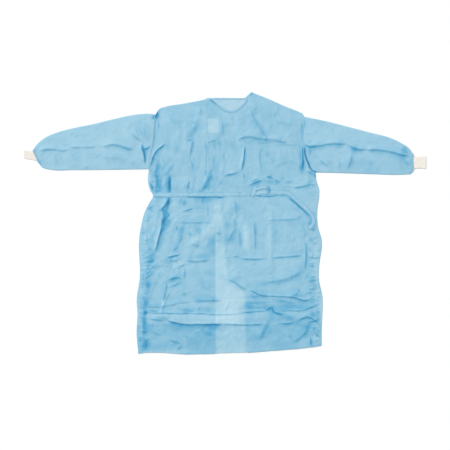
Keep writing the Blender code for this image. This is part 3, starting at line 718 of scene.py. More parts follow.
frontCreases = [
    # name, points, width, rise, lean, thin painted dark line, soft painted shade (a painted highlight where negative)
    # Left shoulder and chest
    ("shoulder pocket", [(-322, 460), (-309, 484), (-294, 503)], 13, -1.2, 0, 0.6, 0.8),
    ("by the armhole, outer", [(-322, 326), (-315, 400), (-311, 464)], 7, 1.2, 0.4, 0.34, 0.08),
    ("by the armhole, inner", [(-298, 402), (-300, 468)], 7, 1.6, 0.4, 0.42, 0.10),
    ("chest fold", [(-334, 240), (-330, 268), (-320, 300), (-309, 320), (-295, 335), (-277, 346), (-261, 363)], 10, 4.0, 0.5, 0.72, 0.2),
    ("underarm hollow", [(-287, 140), (-296, 185), (-307, 224), (-300, 251), (-294, 290)], 13, -1.8, 0, 0.05, 0.44),
    ("underarm line", [(-323, 224), (-286, 206)], 8, 1.4, 0.4, 0.34, 0.1),
    ("underarm upright", [(-310, 150), (-306, 186)], 8, 1.4, 0.4, 0.3, 0.18),
    ("side notch", [(-321, 137), (-329, 162), (-337, 190)], 8, 2.2, 0.4, 1.2, 0.22),
    ("left upright", [(-246, 136), (-249, 174), (-244, 218)], 9, 3.6, 0.5, 0.9, 0.3),
    ("left slant", [(-288, 206), (-250, 240), (-227, 275)], 15, 2.6, 0.3, 0.06, 0.30),
    ("left slant, pale side", [(-262, 200), (-232, 236), (-214, 262)], 10, 0.8, 0, 0, -0.10),
    ("short upright", [(-171, 138), (-167, 171), (-158, 198)], 9, 2.4, 0.4, 0.46, 0.20),
    ("short upright, twin", [(-184, 146), (-177, 184)], 8, 1.2, 0.4, 0.12, 0.16),
    ("chest ridge, foot", [(-159, 291), (-156, 318), (-147, 363), (-143, 380)], 12, 3.0, 0.4, 0.30, 0.14),
    ("chest ridge, belly", [(-136, 388), (-142, 418), (-128, 454), (-120, 478)], 20, 3.4, 0.35, 0.04, 0.20),
    ("chest ridge, head", [(-118, 474), (-112, 500), (-108, 524)], 14, 2.0, 0.35, 0.10, 0.16),
    ("chest ridge, tail", [(-152, 214), (-148, 250), (-160, 292)], 8, 1.0, 0.4, 0.26, 0.06),
    ("chest ridge, pale side", [(-184, 300), (-176, 360), (-172, 420)], 16, 1.2, 0, 0, -0.08),
    ("chest cross", [(-180, 377), (-158, 373), (-138, 376)], 7, 1.0, 0.3, 0.36, 0.08),
    ("chest cross, lower", [(-158, 352), (-132, 366)], 6, 0.8, 0.3, 0.26, 0.05),
    ("far chest shade", [(-236, 300), (-216, 360), (-206, 420)], 24, 1.6, 0.2, 0, 0.08),
    ("packed, beside the opening", [(-86, 244), (-87, 310), (-88, 366)], 6, 1.2, 0.3, 0.52, 0.02),
    ("packed, beside the opening, foot", [(-92, 206), (-87, 248)], 7, 1.0, 0.3, 0.16, 0.08),
    ("back edge, pale", [(-92, 366), (-92, 450), (-93, 530)], 6, 0.3, 0, 0, -0.10),
    ("arch under the tab", [(-85, 345), (-70, 363), (-45, 371), (-20, 374)], 8, 1.6, 0.4, 0.36, 0.12),
    ("arch under the tab, twin", [(-66, 346), (-40, 358), (-14, 360)], 8, 1.0, 0.4, 0.16, 0.08),
    ("back edge showing", [(-14, 374), (-14, 466)], 9, 0.6, 0.3, 0.10, 0.2),
    ("middle slant", [(-106, 142), (-88, 172), (-70, 205), (-58, 234)], 18, 3.2, 0.4, 0.08, 0.34),
    ("middle slant, upper streak", [(-80, 214), (-68, 230), (-54, 244)], 7, 1.2, 0.3, 0.46, 0.05),
    ("middle slant, lower streak", [(-94, 176), (-82, 192), (-72, 208)], 7, 1.2, 0.3, 0.36, 0.05),
    ("middle slant, head", [(-60, 244), (-52, 284), (-46, 310)], 12, 1.4, 0.3, 0.06, 0.06),
    ("fine upright 1", [(-76, 262), (-72, 312)], 7, 0.8, 0.3, 0.10, 0.10),
    ("fine upright 2", [(-54, 268), (-50, 322)], 7, 0.8, 0.3, 0.12, 0.08),
    ("fine upright 3", [(-12, 276), (-6, 338)], 7, 0.8, 0.3, 0.14, 0.08),
    ("fine upright 4", [(10, 270), (12, 326)], 7, 0.8, 0.3, 0.10, 0.06),
    ("short slant", [(-34, 160), (-24, 184), (-8, 204)], 9, 1.6, 0.4, 0.14, 0.10),
    ("mid chest crossing", [(-12, 204), (5, 215), (42, 224), (66, 232)], 9, 2.8, 0.5, 0.7, 0.22),
    # Right chest
    ("mid chest crease", [(69, 227), (76, 257), (84, 307), (87, 354)], 8, 3.4, 0.5, 0.8, 0.14),
    ("mid chest crease, foot", [(83, 192), (81, 232)], 6, 1.0, 0.4, 0.42, 0.05),
    ("right chest arc", [(48, 368), (81, 385), (109, 389), (151, 380), (181, 375), (215, 377), (280, 357)], 14, 3.0, 0.5, 0.24, 0.12),
    ("right chest arc, lower", [(132, 357), (181, 363), (226, 368), (284, 356)], 10, 2.0, 0.4, 0.22, 0.04),
    ("right chest arc, pale", [(70, 402), (120, 406), (170, 396)], 12, 0.8, 0, 0, -0.07),
    ("right chest star", [(170, 361), (180, 374), (190, 392)], 6, 1.2, 0.4, 0.36, 0.08),
    ("right chest star, twin", [(162, 386), (196, 366)], 6, 0.8, 0.4, 0.26, 0.04),
    ("neck fold", [(181, 383), (151, 418), (128, 457), (102, 516)], 14, 2.6, 0.3, 0.04, 0.12),
    ("neck fold, pale side", [(206, 400), (170, 440), (140, 500)], 14, 0.6, 0, 0, -0.06),
    ("right upright, faint", [(162, 212), (156, 251), (151, 307), (159, 348)], 7, 1.2, 0.3, 0.26, 0.06),
    ("right chest slant", [(198, 229), (253, 270), (294, 282)], 13, 1.6, 0.3, 0.06, 0.10),
    ("yoke, right", [(214, 470), (268, 448), (320, 440)], 16, 1.6, 0.3, 0.02, 0.08),
    ("yoke, left", [(-190, 400), (-222, 440), (-268, 470)], 16, 1.6, 0.3, 0.02, 0.08),
    ("over the knot, left", [(98, 168), (122, 180), (150, 190), (172, 196)], 11, 3.6, 0.5, 0.42, 0.40),
    ("over the knot, streak", [(104, 186), (136, 198), (160, 206)], 8, 1.4, 0.4, 0.26, 0.12),
    ("over the knot, right", [(176, 200), (190, 209), (204, 208), (216, 194)], 10, 3.2, 0.5, 0.5, 0.46),
    ("over the knot, far right", [(214, 206), (238, 190), (256, 180)], 10, 1.8, 0.4, 0.10, 0.26),
    ("right waist crease", [(296, 159), (340, 167), (362, 172), (396, 177)], 10, 3.2, 0.4, 0.5, 0.24),
    ("right waist crease, upper", [(262, 184), (312, 190)], 9, 1.4, 0.4, 0.12, 0.08),
    ("by the belt, right", [(250, 146), (264, 148), (280, 140)], 8, 1.2, 0.4, 0.3, 0.24),
    ("right armhole fold", [(344, 236), (343, 283), (341, 352)], 8, 3.4, 0.4, 0.9, 0.36),
    ("right armhole line", [(336, 260), (331, 310), (333, 356)], 6, 1.0, 0.4, 0.3, 0.06),
    ("right armhole seam", [(347, 466), (345, 420), (343, 366)], 7, 0.8, 0.3, 0.22, 0.16),
    ("underarm step", [(399, 228), (403, 212), (408, 196)], 6, 0.8, 0.3, 0.7, 0.3),
    ("armhole foot", [(338, 268), (344, 246), (352, 226)], 12, -0.6, 0, 0, 0.24),
    ("packed, chest", [(206, 350), (334, 351)], 5, 0.8, 0.3, 0.12, 0.03),
    # Along the belt
    ("under the belt, left", [(-317, 117), (-289, 121), (-243, 117)], 5, -0.8, 0, 0.9, 0.10),
    ("under the belt, middle", [(-178, 112), (-156, 117), (-100, 116), (-60, 116), (8, 116)], 5, -0.8, 0, 1.1, 0.12),
    ("under the belt, shade", [(-110, 106), (-80, 104), (-40, 106)], 10, -0.8, 0, 0, 0.30),
    ("under the belt, knot side", [(122, 122), (160, 120), (194, 121), (262, 124), (280, 120)], 5, -0.8, 0, 1.0, 0.08),
    ("under the tail", [(266, 126), (290, 109), (326, 79), (350, 58), (382, 22)], 6, -1.0, 0, 0.9, 0.14),
    ("beside the tail", [(292, 92), (318, 68), (340, 48)], 9, 1.2, 0.4, 0.04, 0.06),
    ("over the tail", [(379, 54), (398, 30)], 7, 1.2, 0.4, 0.4, 0.12),
    ("tail hook", [(372, -32), (384, -14), (388, 14)], 6, 1.0, 0.4, 0.3, 0.12),
    # Left waist and belly
    ("waist pleat, head", [(-283, 60), (-270, 80), (-259, 100), (-247, 130)], 15, 6.0, 0.5, 0.3, 0.06),
    ("waist pleat, hollow", [(-284, -22), (-276, 8), (-270, 24), (-276, 42), (-280, 60)], 13, 2.4, 0.5, 0.2, 0.05),
    ("waist pleat, branch", [(-296, 66), (-276, 58)], 7, 1.2, 0.4, 0.4, 0.1),
    ("waist pleat, branch below", [(-262, 22), (-246, 12)], 7, 1.0, 0.4, 0.3, 0.15),
    ("waist pleat, foot", [(-314, -135), (-302, -86), (-294, -56), (-286, -30), (-280, -8)], 14, 6.0, 0.5, 0.9, 0.1),
    ("waist pleat, soft side", [(-294, -120), (-282, -76), (-270, -40)], 16, -0.8, 0, 0, 0.12),
    ("flank line", [(-356, -70), (-352, -10), (-342, 50)], 13, 2.0, 0.3, 0.12, 0.04),
    ("flank shade", [(-338, -142), (-350, -74), (-352, -40)], 13, 1.2, 0.3, 0.06, 0.12),
    ("flank dash", [(-352, 64), (-334, 72), (-316, 84)], 9, 1.8, 0.4, 0.26, 0.30),
    ("flank dash, lower", [(-362, 28), (-318, 34)], 8, 1.0, 0.4, 0.14, 0.10),
    ("flank upright", [(-318, -60), (-306, 0), (-296, 60)], 10, 1.4, 0.3, 0.10, 0.10),
    ("belly shade 1", [(-196, 76), (-186, 94), (-178, 114)], 10, 1.4, 0.3, 0.06, 0.30),
    ("belly shade 2", [(-107, 84), (-101, 114)], 11, 1.2, 0.3, 0.04, 0.26),
    ("belly dash", [(-198, 55), (-166, 61), (-134, 69)], 7, 2.4, 0.5, 0.6, 0.10),
    ("packed, left belly", [(-218, 6), (-150, 6), (-54, 7)], 7, 1.2, 0.4, 0.24, 0.10),
    ("packed, left belly, upper", [(-232, 53), (-150, 52), (-79, 53)], 5, 0.6, 0.4, 0.16, 0.02),
    ("packed upright, left belly", [(-78, 14), (-79, 104)], 5, 0.8, 0.3, 0.2, 0.04),
    ("packed upright, twin", [(-60, 6), (-62, 106)], 5, 0.6, 0.3, 0.12, 0.02),
    ("belly patch", [(-150, -24), (-110, -16), (-80, -20)], 26, 0.6, 0.2, 0, 0.20),
    ("belly hook", [(-214, -40), (-218, -20), (-206, -4)], 8, 1.4, 0.3, 0.14, 0.22),
    ("belly slant, head", [(-203, -93), (-193, -50), (-184, -12)], 12, 3.0, 0.4, 0.12, 0.10),
    ("belly slant, foot", [(-237, -123), (-218, -108), (-202, -92)], 8, 2.6, 0.4, 0.5, 0.14),
    ("belly slant, twin", [(-168, -60), (-158, -30)], 12, 1.6, 0.3, 0.06, 0.18),
    ("belly crease, left", [(-268, -152), (-228, -143), (-184, -130)], 7, 2.8, 0.5, 0.85, 0.10),
    ("belly crease, left lower", [(-258, -168), (-222, -162), (-186, -152)], 10, 1.8, 0.5, 0.14, 0.26),
    ("belly crease, middle", [(-183, -155), (-153, -165), (-104, -165), (-59, -160)], 9, 3.0, 0.5, 0.34, 0.16),
    ("belly crease, middle shade", [(-140, -140), (-90, -132), (-56, -120)], 18, 0.6, 0.2, 0, 0.18),
    ("belly tick", [(-214, -203), (-194, -188), (-172, -173)], 7, 1.8, 0.4, 0.62, 0.08),
    ("belly arch", [(-157, -104), (-146, -94), (-130, -91), (-113, -99)], 9, 2.2, 0.4, 0.2, 0.24),
    ("belly arch, right", [(-46, -46), (-28, -40), (-14, -50)], 9, 1.8, 0.4, 0.12, 0.30),
    ("belly arch, under", [(-34, -64), (-22, -84)], 8, 1.2, 0.4, 0.12, 0.2),
    ("light swath", [(-168, -104), (-110, -64), (-62, -20), (-34, 30), (-30, 60)], 24, 2.6, 0, 0, -0.20),
    ("light swath, head", [(-34, 40), (-40, 100)], 20, 1.0, 0, 0, -0.12),
    # Right belly
    ("bend below the belt, head", [(44, 30), (43, 80), (38, 108)], 13, 2.4, 0.4, 0.12, 0.20),
    ("bend below the belt", [(2, -100), (16, -66), (38, -20), (40, 30)], 17, 3.0, 0.4, 0.12, 0.26),
    ("bend below the belt, twin", [(-6, -30), (6, 20)], 14, 1.6, 0.3, 0.04, 0.20),
    ("light ridge", [(100, -134), (96, -60), (92, 6)], 19, 2.6, 0, 0, -0.14),
    ("light ridge, shade", [(131, -132), (130, -60), (127, 22)], 9, 1.6, 0.4, 0.16, 0.20),
    ("light ridge, other shade", [(66, -118), (62, -62), (60, -20)], 11, 1.0, 0.4, 0.04, 0.28),
    ("right belly loops", [(26, -151), (45, -143), (61, -146), (66, -154)], 7, 1.6, 0.4, 0.4, 0.10),
    ("right belly line, start", [(-20, -156), (2, -150), (28, -152)], 7, 1.2, 0.4, 0.26, 0.05),
    ("right belly line, middle", [(64, -153), (110, -156), (161, -156), (188, -150)], 8, 2.6, 0.5, 0.6, 0.12),
    ("right belly line, end", [(198, -151), (245, -148), (289, -145), (350, -140)], 8, 2.6, 0.5, 0.52, 0.12),
    ("right belly line, side", [(370, -147), (396, -150), (426, -149)], 7, 2.2, 0.5, 0.5, 0.1),
    ("packed upright, right belly", [(207, -200), (206, -60), (208, 92)], 8, 1.0, 0.5, 0.06, 0.04),
    ("packed upright, pale", [(197, -160), (196, -30), (197, 60)], 12, 0.4, 0, 0, -0.14),
    ("packed upright, dark side", [(216, -150), (214, -60), (215, 60)], 9, 0.3, 0.5, 0, 0.08),
    ("packed upright, far right foot", [(353, -210), (357, -118), (352, -74)], 7, 1.8, 0.4, 0.46, 0.10),
    ("packed upright, far right head", [(352, -74), (350, -29), (339, 6)], 7, 1.2, 0.4, 0.26, 0.06),
    ("packed, right belly", [(170, 16), (222, 18), (300, 21), (347, 25)], 7, 1.6, 0.4, 0.32, 0.10),
    ("packed, right belly, upper", [(311, 30), (347, 34)], 5, 0.8, 0.4, 0.22, 0.03),
    ("right flank fan 1", [(360, -40), (396, -78), (420, -100)], 10, 1.4, 0.3, 0.10, 0.08),
    ("right flank fan 2", [(366, 0), (398, -30), (414, -52)], 10, 1.4, 0.3, 0.12, 0.08),
    ("right flank fan 3", [(368, -22), (412, -14)], 9, 1.4, 0.3, 0.16, 0.08),
    ("right flank fan 4", [(362, -84), (380, -116), (400, -132)], 10, 1.2, 0.3, 0.08, 0.10),
    ("right flank upright", [(382, -214), (386, -160)], 8, 1.2, 0.3, 0.14, 0.10),
    # Thighs
    ("side gather 1", [(-362, -228), (-340, -214), (-326, -198)], 8, 2.6, 0.4, 0.5, 0.2),
    ("side gather 2", [(-362, -246), (-340, -232), (-318, -207)], 8, 2.8, 0.4, 0.55, 0.2),
    ("side gather 3", [(-364, -168), (-310, -164)], 7, 1.6, 0.4, 0.34, 0.1),
    ("side gather 4", [(-364, -184), (-308, -182)], 7, 1.6, 0.4, 0.36, 0.1),
    ("side gather 5", [(-364, -200), (-312, -196)], 7, 1.6, 0.4, 0.30, 0.1),
    ("side gather shade", [(-352, -190), (-334, -140), (-324, -130)], 22, 0.8, 0.2, 0, 0.30),
    ("side hollow", [(-334, -300), (-346, -270), (-350, -246)], 13, -1.2, 0, 0.04, 0.5),
    ("thigh triangle, top", [(-261, -255), (-240, -244), (-222, -238), (-203, -238), (-183, -254)], 9, 3.0, 0.4, 0.42, 0.14),
    ("thigh triangle, foot", [(-257, -285), (-222, -270), (-188, -255)], 8, 1.6, 0.4, 0.4, 0.10),
    ("thigh triangle, side", [(-183, -248), (-182, -194)], 8, 2.2, 0.4, 0.46, 0.14),
    ("thigh fold", [(-276, -360), (-270, -315), (-264, -281), (-260, -254)], 10, 3.6, 0.4, 0.45, 0.12),
    ("thigh fold, foot", [(-281, -390), (-270, -357), (-259, -329), (-235, -298)], 7, 2.2, 0.4, 0.38, 0.08),
    ("thigh fold, pale side", [(-290, -360), (-284, -310)], 8, 0.5, 0, 0, -0.14),
    ("thigh patch", [(-206, -320), (-180, -306), (-160, -310)], 14, 0.8, 0.2, 0, 0.18),
    ("thigh patch, right", [(-96, -230), (-80, -280), (-66, -310)], 22, 0.8, 0.2, 0, 0.14),
    ("soft arc of the thighs", [(-2, -240), (33, -252), (67, -272), (102, -299)], 13, 2.6, 0.4, 0.12, 0.16),
    ("soft arc, inner", [(10, -232), (50, -240), (80, -262)], 14, 1.6, 0.3, 0, 0.18),
    ("thigh swell", [(186, -262), (239, -248), (312, -225), (354, -206)], 15, 3.4, 0.35, 0.12, 0.20),
    ("wandering fold", [(99, -300), (117, -297), (156, -314), (211, -320), (261, -322), (311, -327), (360, -338), (378, -332), (389, -320)], 10, 5.0, 0.5, 0.60, 0.12),
    ("wandering fold, wedge", [(104, -312), (128, -320), (156, -322)], 11, 0.6, 0.3, 0.1, 0.26),
    ("wandering fold, twin", [(100, -336), (223, -334), (290, -346), (330, -354)], 9, 1.2, 0.3, 0.16, 0.04),
    ("thigh tick", [(328, -312), (318, -284)], 9, 1.2, 0.4, 0.16, 0.34),
    ("thigh oval, right rim", [(268, -324), (300, -318), (318, -308), (330, -292)], 9, 1.8, 0.4, 0.26, 0.08),
    ("right side gather 1", [(364, -256), (412, -248)], 9, 2.4, 0.3, 0.2, 0.16),
    ("right side gather 2", [(346, -314), (372, -304), (402, -310)], 8, 2.0, 0.3, 0.26, 0.1),
    ("right side gather 3", [(366, -290), (424, -286)], 8, 2.0, 0.3, 0.2, 0.12),
    ("right side gather 4", [(372, -272), (420, -268)], 8, 1.6, 0.3, 0.2, 0.1),
    # Tuck bands above the hem
    ("over the tuck, left line", [(-361, -365), (-339, -368), (-261, -365), (-206, -352), (-140, -346)], 9, 3.0, 0.5, 0.26, 0.02),
    ("over the tuck, middle", [(-150, -347), (-111, -342), (-44, -340), (-11, -343)], 10, 3.4, 0.5, 0.5, 0.16),
    ("tuck, plateau", [(-348, -404), (-200, -421), (20, -422), (220, -417), (416, -398)], 22, 4.0, 0, 0, -0.05),
    ("tuck, left start", [(-346, -384), (-316, -385), (-284, -387)], 8, 2.6, 0.5, 1.1, 0.14),
    ("tuck, upper edge", [(-346, -396), (-150, -397), (72, -397), (100, -392), (156, -388), (208, -385)], 8, 2.2, 0.5, 0.58, 0.07),
    ("tuck, shade above", [(-212, -378), (-170, -381), (-126, -386)], 10, 0.8, 0.3, 0.04, 0.14),
    ("tuck, right start", [(222, -388), (278, -384), (350, -382), (389, -368), (423, -365)], 9, 2.6, 0.5, 0.5, 0.14),
    ("tuck, lower edge, left", [(-346, -417), (-300, -427), (-262, -428)], 9, 2.6, 0.5, 0.46, 0.10),
    ("tuck, lower edge", [(-262, -428), (-217, -438), (-176, -446), (-145, -446), (-44, -445), (0, -446)], 10, 4.0, 0.55, 0.70, 0.20),
    ("tuck, lower edge, thin", [(-22, -446), (30, -446), (78, -448), (178, -445)], 9, 4.0, 0.55, 0.66, 0.06),
    ("tuck, lower edge, right", [(236, -443), (267, -442), (317, -438)], 10, 2.8, 0.5, 0.7, 0.12),
    ("tuck, lower edge, hook", [(312, -439), (345, -418), (367, -413), (389, -421), (413, -441)], 9, 3.0, 0.5, 0.6, 0.14),
    ("peak, left side", [(176, -384), (194, -374), (211, -364)], 9, 2.2, 0.4, 0.5, 0.10),
    ("peak, right side", [(211, -364), (217, -388), (240, -397), (269, -405)], 9, 2.8, 0.4, 0.8, 0.12),
    ("peak, second line", [(224, -402), (262, -414)], 7, 1.2, 0.4, 0.3, 0.08),
    ("below the peak", [(146, -526), (168, -474), (192, -424)], 20, 3.2, 0.4, 0.03, 0.16),
    ("below the peak, twin", [(190, -500), (212, -452)], 12, 1.6, 0.4, 0.06, 0.04),
    ("crossing the bands, middle", [(-6, -392), (4, -374), (14, -354)], 7, 1.6, 0.4, 0.2, 0.0),
    ("crossing the bands, left", [(-124, -388), (-108, -356)], 7, 1.2, 0.4, 0.26, 0.05),
    ("crossing the bands, far left", [(-286, -412), (-272, -372)], 7, 1.2, 0.4, 0.26, 0.05),
    ("band crease, right", [(90, -352), (150, -346), (206, -350)], 9, 1.4, 0.3, 0.14, 0.10),
    ("band crease, right lower", [(84, -372), (140, -374), (176, -368)], 9, 1.4, 0.3, 0.10, 0.12),
    # Hem and its corners
    ("facing shade", [(-150, -470), (-100, -478), (-52, -488)], 20, 1.2, 0.2, 0.04, 0.10),
    ("facing crease", [(-110, -464), (-76, -480), (-50, -506)], 16, 1.4, 0.3, 0.0, 0.10),
    ("left hem shade", [(-250, -452), (-210, -460), (-180, -466)], 12, 1.0, 0.2, 0.04, 0.14),
    ("edge flap, head", [(-350, -372), (-362, -343), (-376, -318)], 15, 3.0, 0.4, 0.16, 0.30),
    ("edge flap, spot", [(-358, -410), (-358, -382)], 13, 2.4, 0.4, 0.3, 0.44),
    ("edge flap, middle", [(-364, -512), (-366, -465), (-360, -412)], 14, 3.0, 0.4, 0.12, 0.30),
    ("edge flap, foot", [(-358, -576), (-359, -534), (-366, -508)], 14, 2.6, 0.4, 0.2, 0.46),
    ("corner tick, inner", [(-357, -530), (-338, -508)], 8, 2.0, 0.4, 0.5, 0.2),
    ("corner tick, outer", [(-386, -500), (-366, -527)], 8, 2.0, 0.4, 0.4, 0.2),
    ("edge step", [(-390, -334), (-376, -318)], 7, 1.2, 0.4, 0.3, 0.1),
    ("hem crease, left", [(-257, -510), (-222, -521), (-188, -536)], 11, 2.8, 0.4, 0.3, 0.2),
    ("hem crease, left lower", [(-218, -561), (-184, -531)], 9, 2.0, 0.4, 0.3, 0.10),
    ("hem crease, left upper", [(-330, -470), (-300, -488), (-272, -492)], 9, 1.8, 0.4, 0.14, 0.12),
    ("hem crease, right", [(292, -528), (334, -504), (362, -471), (375, -452)], 13, 3.4, 0.4, 0.26, 0.16),
    ("hem crease, right twin", [(270, -506), (300, -490)], 11, 1.6, 0.4, 0.04, 0.14),
    ("hem upright, right", [(379, -552), (378, -496)], 8, 2.4, 0.4, 0.55, 0.3),
    ("right foot gather 1", [(366, -436), (424, -428)], 9, 2.4, 0.3, 0.34, 0.2),
    ("right foot gather 2", [(372, -454), (398, -462), (424, -456)], 8, 2.4, 0.3, 0.34, 0.14),
    ("right foot gather 3", [(382, -476), (400, -482), (424, -504)], 8, 2.2, 0.4, 0.4, 0.14),
    ("right foot gather 4", [(396, -516), (424, -514)], 8, 1.8, 0.4, 0.3, 0.1),
]

# Small gathers that run in from the side edges: first y, last y, side, count
sidePuckers = [
    (200, 126, -1, 5), (70, -150, -1, 9), (-150, -330, -1, 12), (-360, -560, -1, 9),
    (200, 100, 1, 6), (60, -150, 1, 12), (-160, -330, 1, 12), (-340, -530, 1, 14),
]


def puckerRows(seed=17):
    random = np.random.default_rng(seed)
    rows = []
    for firstY, lastY, side, count in sidePuckers:
        line = smoothLine(outline["leftSide" if side < 0 else "rightSide"])
        for t in (np.arange(count) + random.uniform(0.1, 0.9, count)) / count:
            y = firstY + (lastY - firstY) * t
            x = np.interp(y, line[::-1, 1], line[::-1, 0])
            length, fall = random.uniform(18, 60), random.uniform(-0.45, 0.45)
            start = (x - side * random.uniform(1, 8), y)
            middle = (x - side * length * 0.55, y + fall * length * 0.4 + random.uniform(-3, 3))
            end = (x - side * length, y + fall * length)
            points = [start, middle, end] if side < 0 else [end, middle, start]
            width, rise = random.uniform(5, 9), random.uniform(0.8, 2.2)
            line2, shade = random.uniform(0.05, 0.34), random.uniform(0, 0.16)
            rows.append(("pucker", points, width, rise, 0.4, line2, shade))
    return rows


# Where other layers show through, or the cloth lies double, with a painted highlight on the tuck band
frontTones = [
    # name, x, y, half width, half height, softness, darkness
    ("tab", -51.5, 434.5, 24, 31, 5, -0.28),
    ("packed rectangle", -140, 40, 76, 32, 8, 0.06),
    ("facing", -109, -535, 67, 70, 6, 0.06),
    ("hem, left", -216, -525, 178, 76, 12, 0.15),
    ("hem, right", 262, -520, 172, 74, 18, 0.15),
    # a painted highlight along the raised tuck band
    ("tuck band", -145, -421, 205, 20, 9, -0.06),
    ("tuck band, right", 235, -420, 160, 22, 22, 0.10),
    ("strip between", 30, -370, 60, 30, 20, 0.02),
    ("over the tuck, left", -200, -350, 150, 28, 16, 0.02),
    ("over the tuck, right", 270, -360, 130, 22, 12, 0.09),
    ("left chest", -200, 330, 110, 150, 70, 0.0),
    ("left flank", -346, -10, 26, 110, 12, 0.05),
    ("single layer", 34, -300, 40, 110, 34, -0.05),
]


frontStreaks = [
    ("left chest", -210, 340, 110, 130, 60, 82, 80, 15, 0.5, 0.06),
    ("middle chest", -30, 290, 90, 100, 40, 88, 60, 8, 0.5, 0.11),
    ("lower left chest", -230, 185, 120, 66, 40, 78, 60, 17, 1.3, 0.15),
    ("lower middle chest", -20, 180, 110, 60, 40, 64, 52, 15, 1.0, 0.11),
    ("right chest", 220, 280, 130, 110, 50, 88, 80, 14, 0.6, 0.06),
    ("above the arcs", 60, 450, 200, 80, 50, 96, 70, 16, 0.5, 0.05),
    ("left belly", -160, -40, 120, 130, 60, 58, 66, 18, 1.0, 0.11),
    ("middle belly", 20, -10, 90, 130, 50, 84, 70, 14, 0.9, 0.10),
    ("right belly", 270, -60, 110, 140, 60, 80, 90, 16, 0.5, 0.04),
    ("left flank", -345, -60, 40, 150, 30, 82, 60, 11, 0.8, 0.10),
    ("left thigh", -240, -250, 140, 110, 60, 56, 60, 14, 0.9, 0.09),
    ("right thigh", 220, -250, 170, 80, 60, 14, 80, 16, 0.8, 0.05),
    ("tuck bands", 20, -372, 400, 52, 24, 3, 100, 8, 0.5, 0.07),
    ("over the hem", 20, -520, 400, 80, 30, 12, 70, 13, 0.6, 0.07),
    ("right flank", 400, -330, 40, 240, 26, 86, 56, 9, 0.7, 0.10),
    ("side gathers", -342, -205, 28, 44, 16, 22, 40, 7, 1.6, 0.26),
    ("hip gathers", -250, -180, 70, 36, 26, 24, 46, 10, 1.2, 0.12),
    ("right side gathers", 402, -290, 30, 60, 18, -8, 44, 8, 1.2, 0.16),
    ("right foot gathers", 402, -465, 28, 46, 14, 16, 36, 7, 1.6, 0.22),
    ("right thigh, lower", 225, -358, 130, 26, 12, 4, 80, 6, 0.7, 0.14),
    ("packed rectangle", -150, 36, 72, 26, 8, 0, 160, 7, 0.4, 0.09),
    ("waist, right", 330, 150, 70, 40, 22, 8, 50, 10, 1.0, 0.12),
    ("below the belt, right", 380, -20, 36, 60, 20, 60, 40, 9, 1.0, 0.14),
    ("left edge", -368, -450, 26, 140, 16, 88, 60, 9, 0.6, 0.09),
]


